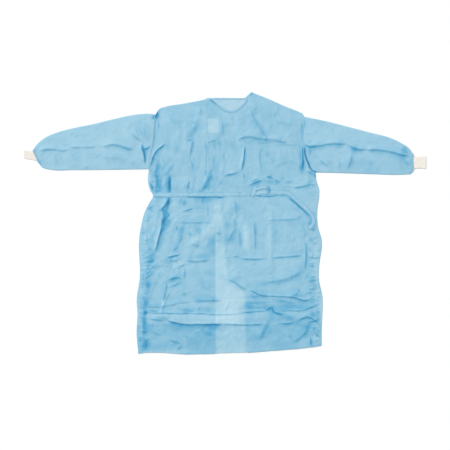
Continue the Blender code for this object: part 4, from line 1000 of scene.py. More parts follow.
frontFills = [
    ("pleat", [(-249, 120), (-255, 100), (-268, 80), (-283, 66), (-276, 46), (-281, 13), (-284, -16), (-292, -44)], 17, 0.66),
    ("pleat, right side", [(-240, 120), (-246, 95), (-251, 70), (-257, 55), (-246, 40), (-262, 16), (-282, -6)], -13, 0.5),
    ("dark flap", [(-46, -36), (-45, -165)], -36, 0.12),
    ("kite", [(-262, -262), (-220, -247), (-186, -258)], -18, 0.12),
    ("crossing, pale", [(-287, -398), (-270, -352), (-254, -308)], 8, -0.22),
    ("crossing, dark", [(-286, -398), (-269, -352), (-253, -308)], -7, 0.16),
    ("middle crossing, pale", [(-3, -392), (8, -368), (18, -342)], 8, -0.2),
    ("middle crossing, dark", [(-2, -392), (9, -368), (19, -342)], -7, 0.14),
    ("left crossing, pale", [(-130, -392), (-118, -372), (-110, -356)], 7, -0.12),
    ("pleat, foot", [(-284, -24), (-294, -56), (-302, -86), (-314, -133)], 26, 0.17),
    ("pleat, foot, pale side", [(-283, -14), (-294, -56), (-302, -86), (-312, -128)], -9, -0.16),
    ("pleat, head, pale side", [(-256, 112), (-268, 80), (-286, 62)], -14, -0.06),
    ("belly crease", [(-183, -156), (-153, -165), (-104, -165), (-56, -160)], 40, 0.10),
    ("belly crease, left", [(-259, -149), (-226, -142), (-192, -133)], -15, 0.14),
    ("belly slant", [(-237, -123), (-203, -93), (-190, -36), (-183, -12)], 13, 0.18),
    ("belly slant, pale side", [(-224, -118), (-196, -88), (-184, -36)], -12, -0.10),
    ("packed, left belly", [(-218, 6), (-54, 6)], -30, 0.06),
    ("thigh triangle", [(-260, -254), (-222, -238), (-203, -238), (-183, -254)], -12, 0.16),
    ("thigh triangle, foot", [(-257, -285), (-222, -270), (-188, -255)], -16, 0.12),
    ("thigh fold", [(-260, -254), (-264, -281), (-267, -303), (-272, -350)], -12, 0.14),
    ("thigh fold, pale side", [(-258, -300), (-264, -340), (-276, -386)], 8, -0.10),
    ("over the tuck, left", [(-339, -369), (-261, -366), (-206, -353), (-145, -347)], 12, 0.06),
    ("over the tuck, pale side", [(-330, -372), (-261, -369), (-206, -356), (-60, -346)], -15, -0.08),
    ("over the tuck, middle", [(-150, -346), (-111, -342), (-44, -340), (-8, -343)], 15, 0.20),
    ("tuck, upper edge, pale side", [(-348, -398), (-150, -398), (72, -398), (156, -389), (206, -386)], -9, -0.07),
    ("tuck, upper edge, shade", [(-284, -394), (-150, -394), (-48, -394)], 15, 0.10),
    ("tuck, lower edge, shade", [(-262, -430), (-217, -440), (-161, -448), (-44, -446)], -20, 0.30),
    ("tuck, lower edge, strip", [(-42, -447), (40, -447), (78, -449)], -14, 0.03),
    ("tuck, lower edge, right", [(78, -449), (172, -446)], -16, 0.05),
    ("tuck, wedge", [(-98, -446), (-12, -446)], -20, 0.26),
    ("tuck, left end", [(-310, -428), (-230, -434)], 26, 0.16),
    ("tuck, far end", [(60, -386), (140, -392)], -30, 0.18),
    ("facing, shade", [(-120, -468), (-84, -492), (-46, -504)], 30, 0.22),
    ("right thigh, upper", [(100, -298), (117, -293), (156, -312), (211, -318), (267, -318), (360, -330)], 13, 0.12),
    ("right thigh, lower", [(92, -390), (156, -386), (206, -384)], 30, 0.14),
    ("right thigh, far", [(261, -328), (300, -330), (339, -336), (364, -340), (380, -332), (389, -320)], -12, 0.08),
    ("right thigh, by the peak", [(222, -388), (300, -384), (350, -381), (389, -368)], 26, 0.16),
    ("peak", [(178, -384), (196, -374), (212, -364)], -17, 0.40),
    ("peak, right", [(212, -366), (217, -388), (240, -396), (268, -405)], -9, 0.34),
    ("right tuck, lower edge", [(239, -443), (267, -442), (317, -438), (345, -418), (367, -413), (389, -421), (412, -440)], -15, 0.16),
    ("right tuck, pale side", [(250, -438), (300, -434), (338, -414), (366, -408), (396, -420)], 9, -0.10),
    ("below the peak", [(206, -424), (184, -474), (161, -513)], -17, 0.18),
    ("right hem", [(374, -462), (345, -490), (296, -530)], 16, 0.12),
    ("left edge", [(-376, -312), (-362, -352), (-368, -405), (-370, -470), (-364, -505)], 22, 0.12),
    ("left edge, foot", [(-338, -506), (-356, -530), (-358, -575)], -13, 0.26),
    ("chest fold", [(-331, 262), (-312, 312), (-295, 333), (-261, 361)], -13, 0.16),
    ("chest fold, pale side", [(-326, 278), (-308, 316), (-272, 352)], 10, -0.08),
    ("underarm", [(-314, 150), (-308, 220), (-302, 270)], -24, 0.08),
    ("left upright", [(-241, 138), (-244, 176), (-241, 218)], 15, 0.55),
    ("left upright, pale side", [(-236, 138), (-239, 176), (-236, 214)], -12, -0.08),
    ("short upright", [(-172, 134), (-170, 170), (-158, 200)], -11, 0.14),
    ("chest ridge", [(-160, 262), (-156, 318), (-147, 363), (-142, 400)], -12, 0.05),
    ("middle slant", [(-112, 138), (-92, 172), (-74, 205), (-62, 236)], -15, 0.14),
    ("middle slant, pale side", [(-114, 140), (-95, 172), (-78, 205)], 16, -0.07),
    ("mid chest crease", [(71, 228), (78, 257), (86, 307), (88, 354)], -16, 0.08),
    ("mid chest crease, pale side", [(69, 228), (76, 257), (84, 307), (86, 352)], 10, -0.08),
    ("mid chest crossing", [(-12, 204), (5, 215), (42, 224), (68, 233)], -16, 0.14),
    ("mid chest crossing, pale side", [(-10, 208), (5, 219), (42, 228)], 9, -0.08),
    ("right chest arc", [(48, 368), (81, 385), (151, 380), (215, 377)], -16, 0.06),
    ("neck fold", [(181, 383), (151, 418), (128, 457), (102, 516)], -26, 0.05),
    ("over the knot", [(98, 166), (122, 178), (150, 188), (172, 194)], -16, 0.18),
    ("over the knot, pale side", [(98, 172), (122, 184), (172, 200)], 8, -0.08),
    ("waist, right", [(290, 160), (340, 168), (396, 177)], -14, 0.10),
    ("below the belt, middle", [(-150, 117), (-100, 114), (-40, 114), (4, 116)], -10, 0.12),
    ("below the belt, left", [(-316, 117), (-270, 118)], -10, 0.22),
    ("below the belt, spot", [(-122, 116), (-78, 116)], -28, 0.10),
    ("below the belt, upright", [(-188, 112), (-180, 76)], 12, 0.12),
    ("tail", [(266, 128), (290, 111), (326, 81), (352, 58), (382, 26)], -8, 0.12),
    ("light ridge", [(84, 0), (84, -118)], 24, -0.10),
    ("light ridge, right", [(110, 0), (111, -124)], 17, 0.08),
    ("right belly line", [(64, -154), (161, -157), (250, -148), (356, -141)], -12, 0.06),
    ("right hip", [(353, -60), (357, -118), (353, -214)], 16, 0.08),
    ("soft arc of the thighs", [(-2, -240), (33, -252), (67, -272), (102, -299)], -20, 0.18),
    ("thigh swell", [(190, -256), (250, -240), (334, -212), (356, -200)], 12, 0.10),
    ("side, foot of the pleat", [(-328, -134), (-306, -136)], -40, 0.14),
]

# Soft painted shade (painted light where the darkness is negative), as rows: name, x, y, half length, half width,
# heading in degrees, darkness
frontPatches = [
    ("shoulder pocket", -313, 481, 24, 13, 60, 0.7),
    ("left chest, lower fold", -285, 148, 28, 16, 20, 0.26),
    ("chest ridge", -150, 385, 28, 22, 60, 0.12),
    ("chest ridge, pale", -117, 436, 20, 14, 60, -0.10),
    ("left chest", -268, 385, 40, 18, 90, 0.12),
    ("left chest, slant", -226, 312, 54, 13, 62, 0.13),
    ("left of the slant", -104, 146, 28, 15, 60, 0.30),
    ("beside the knot", 190, 186, 30, 11, 0, 0.24),
    ("mid chest", 62, 222, 26, 14, 60, 0.10),
    ("right chest, pale", 225, 300, 76, 60, 0, -0.05),
    ("below the belt", -108, 74, 34, 14, 0, 0.12),
    ("pleat", -262, 58, 26, 11, 80, 0.14),
    ("pleat, lower", -268, -8, 30, 12, 70, 0.24),
    ("pleat, pale side", -238, 86, 26, 12, 76, -0.12),
    ("flank, pale", -352, -40, 84, 16, 84, -0.16),
    ("flank foot", -322, -136, 16, 14, 0, 0.16),
    ("belly", -30, -56, 40, 24, 70, 0.24),
    ("belly, left", -98, -92, 46, 14, 20, 0.10),
    ("belly, pale", -165, -92, 66, 20, 80, -0.11),
    ("right belly", 292, 4, 44, 18, 0, 0.10),
    ("right flank, pale", 408, -90, 50, 13, 90, -0.16),
    ("right flank, lower pale", 404, -190, 90, 13, 90, -0.17),
    ("right hip", 350, -200, 22, 11, 90, 0.14),
    ("left hip", -262, -166, 24, 13, 0, 0.13),
    ("left hip, pale", -212, -176, 20, 11, 70, -0.12),
    ("lap, pale", -150, -185, 44, 24, 20, -0.10),
    ("lap", -66, -222, 66, 14, -18, 0.14),
    ("single layer, pale", 38, -205, 50, 13, 90, -0.12),
    ("left thigh", -238, -250, 44, 15, 20, 0.12),
    ("left thigh, lower", -110, -318, 36, 11, 0, 0.15),
    ("over the tuck, shade", -100, -382, 56, 10, 0, 0.18),
    ("right of the strip", 104, -368, 28, 22, 0, 0.30),
    ("right thigh, lower", 240, -372, 100, 13, 2, 0.18),
    ("right thigh, edge", 350, -320, 56, 11, -6, 0.13),
    ("right tuck", 245, -426, 84, 16, -3, 0.10),
    ("right corner", 386, -405, 28, 13, 0, 0.24),
    ("right corner, lower", 373, -450, 18, 14, 60, 0.22),
    ("left edge", -357, -425, 40, 12, 90, 0.30),
    ("left tuck end", -286, -426, 34, 15, 0, 0.22),
    ("facing, pale", -100, -484, 56, 32, 0, -0.10),
    ("right hem", 150, -508, 26, 18, 0, 0.12),
    ("right hem, pale", 348, -516, 36, 17, 60, -0.10),
    ("pleat, head", -250, 134, 30, 14, 80, 0.34),
    ("right upright, foot", 162, 204, 20, 12, 60, 0.16),
    ("side hollow", -345, -248, 14, 12, 0, 0.2),
    ("side hollow, lower", -342, -304, 20, 12, 80, 0.2),
    ("single, fold", 46, -284, 14, 9, 20, 0.14),
    ("right belly, foot", 332, -122, 34, 12, 20, 0.12),
    ("by the armhole", 344, 246, 30, 12, 90, 0.2),
    ("left shoulder, inner", -135, 515, 60, 22, 10, 0.05),
    ("right chest", 240, 470, 60, 24, -20, 0.05),
    ("left foot, pale", -368, -470, 34, 14, 90, -0.14),
    ("left edge, pale", -374, -290, 50, 10, 90, -0.14),
    ("tuck band, middle", -30, -396, 60, 12, 0, 0.12),
    ("tuck, right corner", 222, -392, 20, 12, 0, 0.22),
    ("right hem, edge pale", 406, -500, 44, 14, 90, -0.10),
    ("pleat, left", -286, 54, 24, 15, 60, 0.12),
    ("left upright", -248, 166, 36, 8, 88, 0.36),
    ("pleat, right pale", -224, 86, 14, 12, 0, -0.14),
    ("neck point", 117, 577, 13, 7, 40, 0.34),
    ("belly slant, upper dark", -198, -42, 40, 10, 72, 0.12),
    ("belly slant, lower dark", -218, -112, 22, 8, 45, 0.12),
    ("under the arch, pale", -133, -113, 11, 7, 60, -0.13),
    ("under the arch, dark", -122, -103, 15, 5, 52, 0.12),
    ("under the arch, second pale", -110, -122, 10, 6, 60, -0.10),
    ("kite, inside", -226, -241, 26, 8, 25, 0.10),
    ("hip arc, middle", 200, -262, 60, 7, 6, 0.09),
    ("hip arc, right", 300, -239, 40, 7, 28, 0.09),
    ("shoulder pocket, dark", -311, 492, 16, 9, 62, 0.26),
    ("chest fold, upper side", -295, 290, 26, 11, 72, 0.12),
    ("chest ridge, beside", -160, 366, 44, 13, 64, 0.13),
    ("breast, dark", -45, 250, 26, 11, 66, 0.13),
    ("pleat, dark notch", -250, 62, 13, 10, 60, 0.22),
    ("pleat, lower notch", -250, 5, 16, 11, 70, 0.22),
    ("belly, beside the opening", -72, 0, 42, 15, 62, 0.10),
    ("neck, right slope", 84, 548, 22, 10, -68, 0.10),
    ("right armhole, inner", 330, 330, 48, 11, 72, 0.13),
    ("right armhole corner", 384, 224, 17, 8, -20, 0.5),
    ("right side, upper", 376, 188, 34, 9, 80, 0.14),
    ("belt tail, upper side", 348, 78, 26, 9, -48, 0.10),
    ("belt tail, end", 366, -8, 26, 12, 20, 0.10),
    ("left flank, lower", -330, -195, 42, 13, 0, 0.10),
    ("left flank, middle", -330, -120, 40, 12, 0, 0.07),
    ("left tuck, over", -306, -376, 42, 12, -22, 0.12),
    ("left tuck, under", -268, -452, 46, 11, -22, 0.13),
    ("tuck, middle under", 20, -446, 62, 12, 0, 0.11),
    ("tuck, left of the middle", -110, -432, 66, 10, 0, 0.07),
    ("over the tuck, middle", 72, -374, 32, 11, 34, 0.13),
    ("over the tuck, right", 298, -364, 38, 9, -6, 0.13),
    ("right tuck, edge", 398, -408, 26, 11, -50, 0.12),
    ("single layer, edge", -8, -232, 30, 8, -42, 0.10),
    ("armhole, left pale", -338, 205, 30, 12, 90, -0.18),
    ("over the belt, pale", -60, 172, 24, 12, 80, -0.13),
    ("breast, pale", -62, 308, 48, 12, 74, -0.08),
    ("mid chest, pale", 96, 306, 40, 11, 90, -0.10),
    ("over the knot, pale", 30, 210, 26, 12, 10, -0.07),
    ("right of the knot, pale", 336, 160, 18, 13, 0, -0.13),
    ("right edge, pale", 404, 130, 28, 10, 80, -0.10),
    ("flank, upper pale", -345, 88, 26, 10, 60, -0.11),
    ("pleat, left pale", -292, 12, 16, 10, 50, -0.12),
    ("left edge, hip pale", -388, -84, 40, 8, 90, -0.10),
    ("right gathers, pale", 376, -106, 24, 11, 90, -0.13),
    ("right gathers, lower pale", 388, -178, 26, 11, 90, -0.10),
    ("hip, pale tick", -214, -160, 22, 9, -50, -0.11),
    ("single layer, head", 32, -208, 22, 16, 0, -0.10),
    ("lap arc, pale", 80, -286, 28, 10, -40, -0.11),
    ("lap, left pale", -104, -268, 30, 16, 0, -0.07),
    ("left hem, pale", -358, -460, 28, 13, 80, -0.14),
    ("left corner, pale", -374, -540, 24, 12, 62, -0.12),
    ("tuck, right pale", 100, -410, 46, 11, 0, -0.07),
    ("right edge, lower pale", 431, -372, 40, 7, 90, -0.13),
    ("over the tuck, pale", -210, -362, 44, 9, 4, -0.07),
    ("hem, pale left", -270, -574, 80, 7, 0, -0.07),
    ("shade above the belt, left", -300, 150, 30, 18, 80, 0.16),
    ("shade under the belt, left", -196, 100, 22, 9, 80, 0.14),
    ("shade under the belt, middle", -128, 96, 18, 9, 80, 0.12),
    ("right armhole, pale", 362, 282, 40, 7, 84, -0.12),
    ("right under arm", 384, 232, 22, 9, 70, 0.12),
    ("light swath, upper", -52, 12, 46, 18, 52, -0.06),
    ("belly, right of the swath", -52, -92, 60, 22, 88, 0.08),
    ("right armhole, lower dark", 340, 268, 34, 9, 88, 0.10),
    ("middle chest, pale", -58, 178, 28, 18, 40, -0.20),
    ("low chest, pale", -172, 166, 34, 13, 0, -0.10),
    ("side, pale", -336, 206, 26, 11, 90, -0.2),
    ("belly slant, head", -185, -26, 18, 12, 40, 0.2),
    ("belly, foot", -4, -78, 28, 18, 60, 0.22),
    ("left hip, right", -254, -178, 22, 14, 20, 0.18),
    ("left foot, head", -358, -362, 26, 17, 60, 0.30),
    ("wedge, right", -30, -464, 20, 12, 0, 0.26),
    ("wedge, pale", -86, -464, 20, 12, 0, -0.2),
    ("right of the wedge, pale", 150, -467, 50, 12, 0, -0.1),
    ("fold, left", 152, -322, 36, 10, -8, 0.2),
    ("swell, left", 192, -266, 34, 9, 10, 0.14),
    ("right thigh, streak", 250, -346, 30, 11, -10, 0.22),
    ("right side, low", 394, -332, 22, 24, 0, 0.14),
    ("tuck, right shade", 284, -420, 44, 15, -25, 0.26),
    ("tuck, right shade, left", 208, -412, 22, 13, 0, 0.15),
    ("right corner, inner", 364, -460, 24, 13, 30, 0.24),
    ("right edge, pale", 425, -372, 30, 10, 90, -0.16),
    ("right corner, pale", 414, -524, 26, 16, 0, -0.14),
    ("tail end", 384, 4, 26, 11, 80, 0.16),
    ("hem edge, left", -222, -570, 130, 10, -1, -0.14),
    ("hem edge, middle", -4, -567, 62, 10, 0, -0.12),
    ("hem edge, right", 152, -560, 72, 9, 4, -0.10),
    ("left hem, pale", -200, -562, 30, 13, 0, -0.12),
]


# A soft elliptical spot: 1 in its middle.
def softSpot(x, y, row):
    _, cx, cy, halfLength, halfWidth, heading, _ = row
    turn = math.radians(heading)
    along = ((x - cx) * math.cos(turn) + (y - cy) * math.sin(turn)) / halfLength
    across = ((y - cy) * math.cos(turn) - (x - cx) * math.sin(turn)) / halfWidth
    return np.exp(-(along**2) - across**2)


def layersUnder(x, y, s):
    margin = 34
    _, rightFree = openingEdges(y)
    overLap = lap(x - margin, y) * smooth((x - rightFree + 2 * margin) / margin)
    overLap = overLap * smooth((y - 20) / 60)
    tabX, tabY, halfX, halfY = s["tab"]
    pastX, pastY = np.abs(x - tabX) - halfX - margin, np.abs(y - tabY) - halfY - margin
    overTab = (1 - smooth(pastX / margin)) * (1 - smooth(pastY / margin))
    return s["layer"] * (1 + overLap + overTab)


# The front's tone: where layers show through, plus painted shade and painted light from the patches and fills
def frontTone(x, y, s):
    leftFree, rightFree = openingEdges(y)
    single = smooth((x - leftFree) / 5 + 0.5) * smooth((rightFree - x) / 16 + 0.5)
    fresh = 0.27 * (0.35 + 0.65 * smooth((40 - y) / 120)) - 0.19 * smooth((-430 - y) / 30)
    tone = s["tone"] - single * fresh
    double = smooth((leftFree - x) / 5 + 0.5) * smooth((x - rightFree) / 5 + 0.5)
    tone += 0.04 * double * smooth((y - 150) / 60)
    for row in frontTones:
        tone += row[-1] * softBox(x, y, row)
    uneven = 1 + 0.4 * cloud(x, y, 26, 95)
    for row in frontPatches:
        tone += row[-1] * uneven * softSpot(x, y, row)
    return tone + fills(x, y, frontFills)


def cutFront(s):
    shoulders = [smoothLine(outline[key]) for key in ("leftShoulder", "neckline", "rightShoulder")]
    topLine = np.vstack(shoulders)
    leftLine, rightLine = smoothLine(outline["leftSide"]), smoothLine(outline["rightSide"])
    hemLine = smoothLine(outline["hem"])
    startX, endX = topLine[0][0], topLine[-1][0]
    width = endX - startX
    us = fineEnds(width, width / (s["columns"] - 7), (0, 1, 2.2, 4), s["columns"])
    us = snapped(us, [(x - startX) / width for x in (-65, 97, 118)])
    vs = fineEnds(1064, 1064 / (s["rows"] - 5), (0, 1.2, 3), s["rows"])
    plan = spread(
        us, vs, edge(topLine, 0), edge(hemLine, 0), edge(leftLine, 1), edge(rightLine, 1)
    )
    return plan, us, vs


def makeFront(s):
    plan, us, vs = cutFront(s)
    x, y = plan[..., 0], plan[..., 1]
    u, v = np.meshgrid(us, vs)
    fromSide = smooth(np.minimum(u, 1 - u) / s["crownReach"])
    fromTop = smooth(v / s["crownReach"])
    fromHem = 0.4 + 0.6 * smooth((1 - v) / s["crownReach"])
    swell = sum(
        rise * np.exp(-(((x - cx) / a) ** 2) - ((y - cy) / b) ** 2) for cx, cy, a, b, rise in swells
    )
    rise = (s["crown"] + swell) * fromSide * fromTop * fromHem
    stray = strayCreases(s["strayCount"] * 5 // 10, (-320, 350, 130, 520), 82, 31)
    stray += strayCreases(s["strayCount"] * 4 // 10, (-360, 400, -330, 110), 60, 32)
    stray += strayCreases(s["strayCount"] * 3 // 10, (-370, 410, -560, -330), 12, 33)
    folds, dark = creaseRelief(x, y, frontCreases + puckerRows())
    small, smallPaintedShade = creaseRelief(x, y, stray, 6)
    fine, finePaintedShade = streaks(x, y, frontStreaks)
    belt = 1 - s["beltHold"] * np.exp(-(((y - 126) / s["beltHoldReach"]) ** 2))
    belt = np.where(np.abs(x - 50) < 370, belt, 1)
    hold = (0.4 + 0.6 * fromSide) * (0.25 + 0.75 * fromTop)
    relief = hold * belt * (folds + small + fine + crumple(x, y, crumpling))
    under = layersUnder(x, y, s)
    armhole = np.sin(np.pi * np.clip((485 - y) / 243, 0, 1)) * (1 - fromSide) * 1.6
    z = under + s["solidWall"] + np.maximum(rise + armhole + relief, -0.35)
    fromEdge = np.minimum(u, 1 - u) * 790
    atArm = smooth((y - 236) / 24) * smooth((492 - y) / 14)
    rim = s["edgeHeight"] + (s["armholeHeight"] - s["edgeHeight"]) * atArm
    z = rim + (z - rim) * rollOff(fromEdge, s["edgeRadius"] - 3 * atArm)
    shoulder = ((x < -65) | (x > 118)) & (v < 0.2)
    down = np.where(shoulder, rollOff(v * 1064, s["shoulderRadius"]), 1)
    z = s["edgeHeight"] + 0.6 + (z - s["edgeHeight"] - 0.6) * down
    # the creases' and streaks' painted shade and painted highlights are added to the tone here
    tone = frontTone(x, y, s) + dark + smallPaintedShade + finePaintedShade + blotches(x, y, crumpling)
    return addLinedSheet("frontPanel", np.dstack([plan, z]), s["wall"], "nonwoven", tone)


frontPanel = makeFront(front)
print("front panel laid")

# Back panels

back = {
    "wall": 0.6,
    "step": 7.5,
    "inset": 3,
    "lift": 1.5,
    "tone": 0.12,
    "strayCount": 46,
    "rise": 0.45,
}


def makeBack(name, topLine, footEdge, leftEdge, rightEdge, lifted, seed, s):
    width = topLine[-1][0] - topLine[0][0]
    us = fineEnds(width, s["step"], (0, 3, 8))
    vs = fineEnds(1064, s["step"], (0, 3, 8))
    plan = spread(us, vs, edge(topLine, 0), footEdge, leftEdge, rightEdge)
    x, y = plan[..., 0], plan[..., 1]
    stray = strayCreases(s["strayCount"], (-380, 420, -560, 540), 70, seed, 150)
    folds, dark = creaseRelief(x, y, stray, seed)
    relief = np.clip(0.5 + s["rise"] * (folds + 0.7 * crumple(x, y, crumpling, seed)), 0, 1.1)
    z = s["wall"] + relief * 0.75 + (s["lift"] * lap(x, y) if lifted else 0)
    inside = 0.09 * cloud(x, y, 16, seed + 5) * smooth((y - 476) / 30)
    # dark is the small creases' painted shade
    tone = s["tone"] + dark * 0.8 + 0.03 * cloud(x, y, 60, seed) + inside
    return addSheet(name, np.dstack([plan, z]), s["wall"], "nonwoven", tone)


def makeBacks(s):
    opening = np.array(outline["opening"], float)
    leftFree = smoothLine(opening[:, [1, 0]])
    rightFree = smoothLine(opening[:, [2, 0]])
    hemLine = smoothLine(outline["hem"])
    leftLine, rightLine = smoothLine(outline["leftSide"]), smoothLine(outline["rightSide"])
    leftTop = np.vstack([smoothLine(outline["leftShoulder"]), leftFree[:1]])
    rightTop = [smoothLine([(86, 557), (100, 569), (118, 584)]), smoothLine(outline["rightShoulder"])[1:]]
    rightTop = np.vstack([rightFree[:1], *rightTop])
    leftPanel = makeBack(
        "backPanelLeft", leftTop, edge(hemLine, 0, -386 + s["inset"], leftFree[-1][0]),
        edge(leftLine, 1, shift=s["inset"]), edge(leftFree, 1), False, 51, s,
    )
    rightPanel = makeBack(
        "backPanelRight", rightTop, edge(hemLine, 0, rightFree[-1][0], 430 - s["inset"]),
        edge(rightFree, 1), edge(rightLine, 1, shift=-s["inset"]), True, 52, s,
    )
    return leftPanel, rightPanel


backPanelLeft, backPanelRight = makeBacks(back)
print("back panels laid")

# Sleeves

sleeve = {
    "wall": 0.6,
    "stationStep": 4.0,
    "over": 54,
    "under": 22,
    "edgeRadius": 5,
    "edgeHeight": 1.4,
    "fullHeight": 3.0,
    "crown": 3.2,
    "seamReach": 2.4,
    "seamHeight": 4.1,
    "gathers": 9,
    "gatherRise": 1.5,
    "gatherReach": 36,
    "strayCount": 34,
}

sleeves = {
    "Left": {
        "top": [
            (-309, 485), (-337, 488), (-381, 486), (-509, 461), (-594, 440), (-679, 423),
            (-743, 406), (-794, 385), (-832, 357), (-856, 325),
        ],
        "foot": [(-339, 242), (-458, 240), (-676, 238), (-774, 239), (-812, 249), (-832, 273)],
        "wrist": [(-856, 325), (-843, 297), (-832, 273)],
        "lobes": 0.0,
        "tone": 0.34,
        "area": 0.207,
        "flat": (0.49, 0.55),
        "creases": [
            ("forearm crease", [(-836, 322), (-800, 330), (-764, 332), (-712, 327), (-690, 334)], 12, 3.6, 0.5, 0.34, 0.14),
            ("elbow crease", [(-700, 336), (-674, 341), (-644, 340), (-606, 341), (-560, 342)], 10, 2.8, 0.5, 0.28, 0.08),
            ("upper arm crease", [(-560, 342), (-534, 346), (-504, 353), (-466, 349), (-430, 336), (-396, 327)], 13, 4.4, 0.5, 0.42, 0.20),
            ("sleeve head fold", [(-420, 414), (-398, 390), (-370, 366)], 10, 3.0, 0.3, 0.22, 0.16),
            ("head pocket", [(-311, 488), (-316, 474), (-315, 456)], 9, -0.5, 0, 0.5, 0.7),
            ("armhole fold", [(-357, 255), (-360, 287), (-365, 320), (-371, 338), (-368, 362)], 11, 5.0, 0.4, 1.2, 0.6),
            ("armhole fold, branch", [(-368, 328), (-352, 334), (-340, 342), (-334, 356)], 9, 2.8, 0.4, 0.8, 0.4),
            ("armhole fold, pale side", [(-350, 262), (-350, 296), (-353, 320)], 11, 0.6, 0, 0, -0.16),
            ("head gather 1", [(-396, 462), (-388, 420), (-382, 380)], 9, 2.0, 0.3, 0.22, 0.12),
            ("head gather 2", [(-372, 470), (-368, 420), (-360, 368)], 9, 2.0, 0.3, 0.24, 0.10),
            ("head gather 3", [(-352, 476), (-350, 420), (-344, 352)], 8, 1.6, 0.3, 0.22, 0.10),
            ("head gather 4", [(-338, 470), (-338, 410), (-340, 350)], 8, 1.4, 0.3, 0.12, 0.04),
            ("forearm arc 1", [(-760, 322), (-748, 290), (-736, 252)], 8, 1.4, 0.3, 0.18, 0.08),
            ("forearm arc 2", [(-738, 320), (-726, 296), (-716, 260)], 8, 1.2, 0.3, 0.14, 0.06),
            ("elbow arc", [(-600, 330), (-604, 300), (-590, 262)], 9, 1.0, 0.3, 0.06, 0.05),
            ("wrist corner", [(-838, 280), (-828, 264), (-812, 254)], 16, -0.4, 0, 0.1, 0.34),
            ("middle ridge", [(-560, 300), (-470, 296), (-400, 276)], 19, 2.4, 0.3, 0.12, 0.06),
            ("forearm arc 3", [(-680, 324), (-666, 300), (-650, 270)], 9, 1.4, 0.3, 0.10, 0.08),
            ("elbow arc, second", [(-536, 326), (-524, 290), (-508, 250)], 10, 1.4, 0.3, 0.10, 0.08),
        ],
    },
    "Right": {
        "top": [
            (352, 475), (380, 469), (453, 454), (532, 434), (651, 403), (731, 382), (783, 358),
            (822, 331), (833, 314),
        ],
        "foot": [(401, 227), (467, 226), (560, 223), (650, 220), (779, 217), (824, 219)],
        "wrist": [(833, 314), (839, 303), (838, 290), (838, 262), (839, 240), (824, 219)],
        "lobes": 2.0,
        "tone": 0.34,
        "area": 0.185,
        "flat": (0.51, 0.50),
        "creases": [
            ("upper arm crease", [(362, 345), (413, 348), (461, 356), (512, 357), (548, 352)], 15, 4.8, 0.5, 0.56, 0.3),
            ("elbow crease", [(536, 356), (587, 334), (642, 330)], 14, 4.0, 0.5, 0.46, 0.25),
            ("forearm crease", [(620, 330), (692, 329), (731, 323), (783, 309), (828, 300)], 14, 4.6, 0.5, 0.46, 0.25),
            ("elbow fold", [(540, 232), (552, 280), (562, 322)], 15, 3.6, 0.3, 0.27, 0.14),
            ("second elbow fold", [(501, 234), (504, 264), (501, 292)], 12, 2.4, 0.3, 0.21, 0.11),
            ("underarm fold", [(412, 294), (440, 274), (470, 248)], 14, 3.6, 0.3, 0.32, 0.17),
            ("underarm line", [(386, 234), (396, 230), (412, 229)], 6, -0.4, 0, 1.2, 0.5),
            ("forearm upright", [(650, 316), (654, 280), (650, 236)], 12, 1.0, 0.2, 0.05, 0.08),
            ("forearm fold", [(804, 292), (812, 272), (820, 254)], 10, 2.4, 0.3, 0.29, 0.15),
            ("wrist wedge", [(826, 304), (796, 308), (762, 314)], 20, 0.8, 0, 0.03, 0.30),
            ("armhole pocket", [(355, 344), (355, 310), (368, 268), (384, 234)], 8, -1.5, 0, 1.0, 0.5),
            ("upper arm crease, start", [(352, 368), (360, 347), (380, 339), (408, 344)], 10, -0.4, 0, 0.8, 0.4),
            ("pocket shade", [(374, 350), (378, 320), (372, 292)], 12, -0.6, 0, 0.05, 0.36),
            ("under the arm, pale", [(408, 252), (438, 242), (472, 238)], 14, 0.6, 0, 0, -0.16),
            ("upper arm crease, under", [(362, 302), (398, 298), (432, 296)], 13, -0.3, 0, 0, 0.11),
            ("upper arm crease, over", [(358, 374), (376, 364), (394, 358)], 11, -0.2, 0, 0.05, 0.10),
            ("head dimple", [(356, 468), (354, 440), (353, 410)], 7, -0.2, 0, 0.1, 0.12),
            ("elbow smudge", [(556, 346), (578, 337), (600, 331)], 18, 0.8, 0.3, 0.1, 0.26),
        ],
    },
}


# Rings of a flattened tube: over its upper face and back under it.
def tubeRings(edges, length, s):
    us = fineEnds(length, s["stationStep"], (0, 1.2, 3, 6))
    ends = spread(us, [0, 1], *edges)
    fine = np.array([0.7, 2, 4.2])
    plan, across, fromEdge = [], [], []
    for i, u in enumerate(us):
        width = np.linalg.norm(ends[1, i] - ends[0, i])
        tip = fine / width
        over = np.concatenate([tip, np.linspace(7 / width, 1 - 7 / width, s["over"]), 1 - tip[::-1]])
        under = np.concatenate([tip, np.linspace(7 / width, 1 - 7 / width, s["under"]), 1 - tip[::-1]])
        ring = np.concatenate([[0], over, [1], under[::-1]])
        plan.append(spread([u], ring, *edges)[:, 0])
        across.append(ring)
        fromEdge.append(np.minimum(ring, 1 - ring) * width)
    isOver = np.arange(len(ring)) <= len(over) + 1
    return us, np.array(plan), np.array(across), np.array(fromEdge), isOver


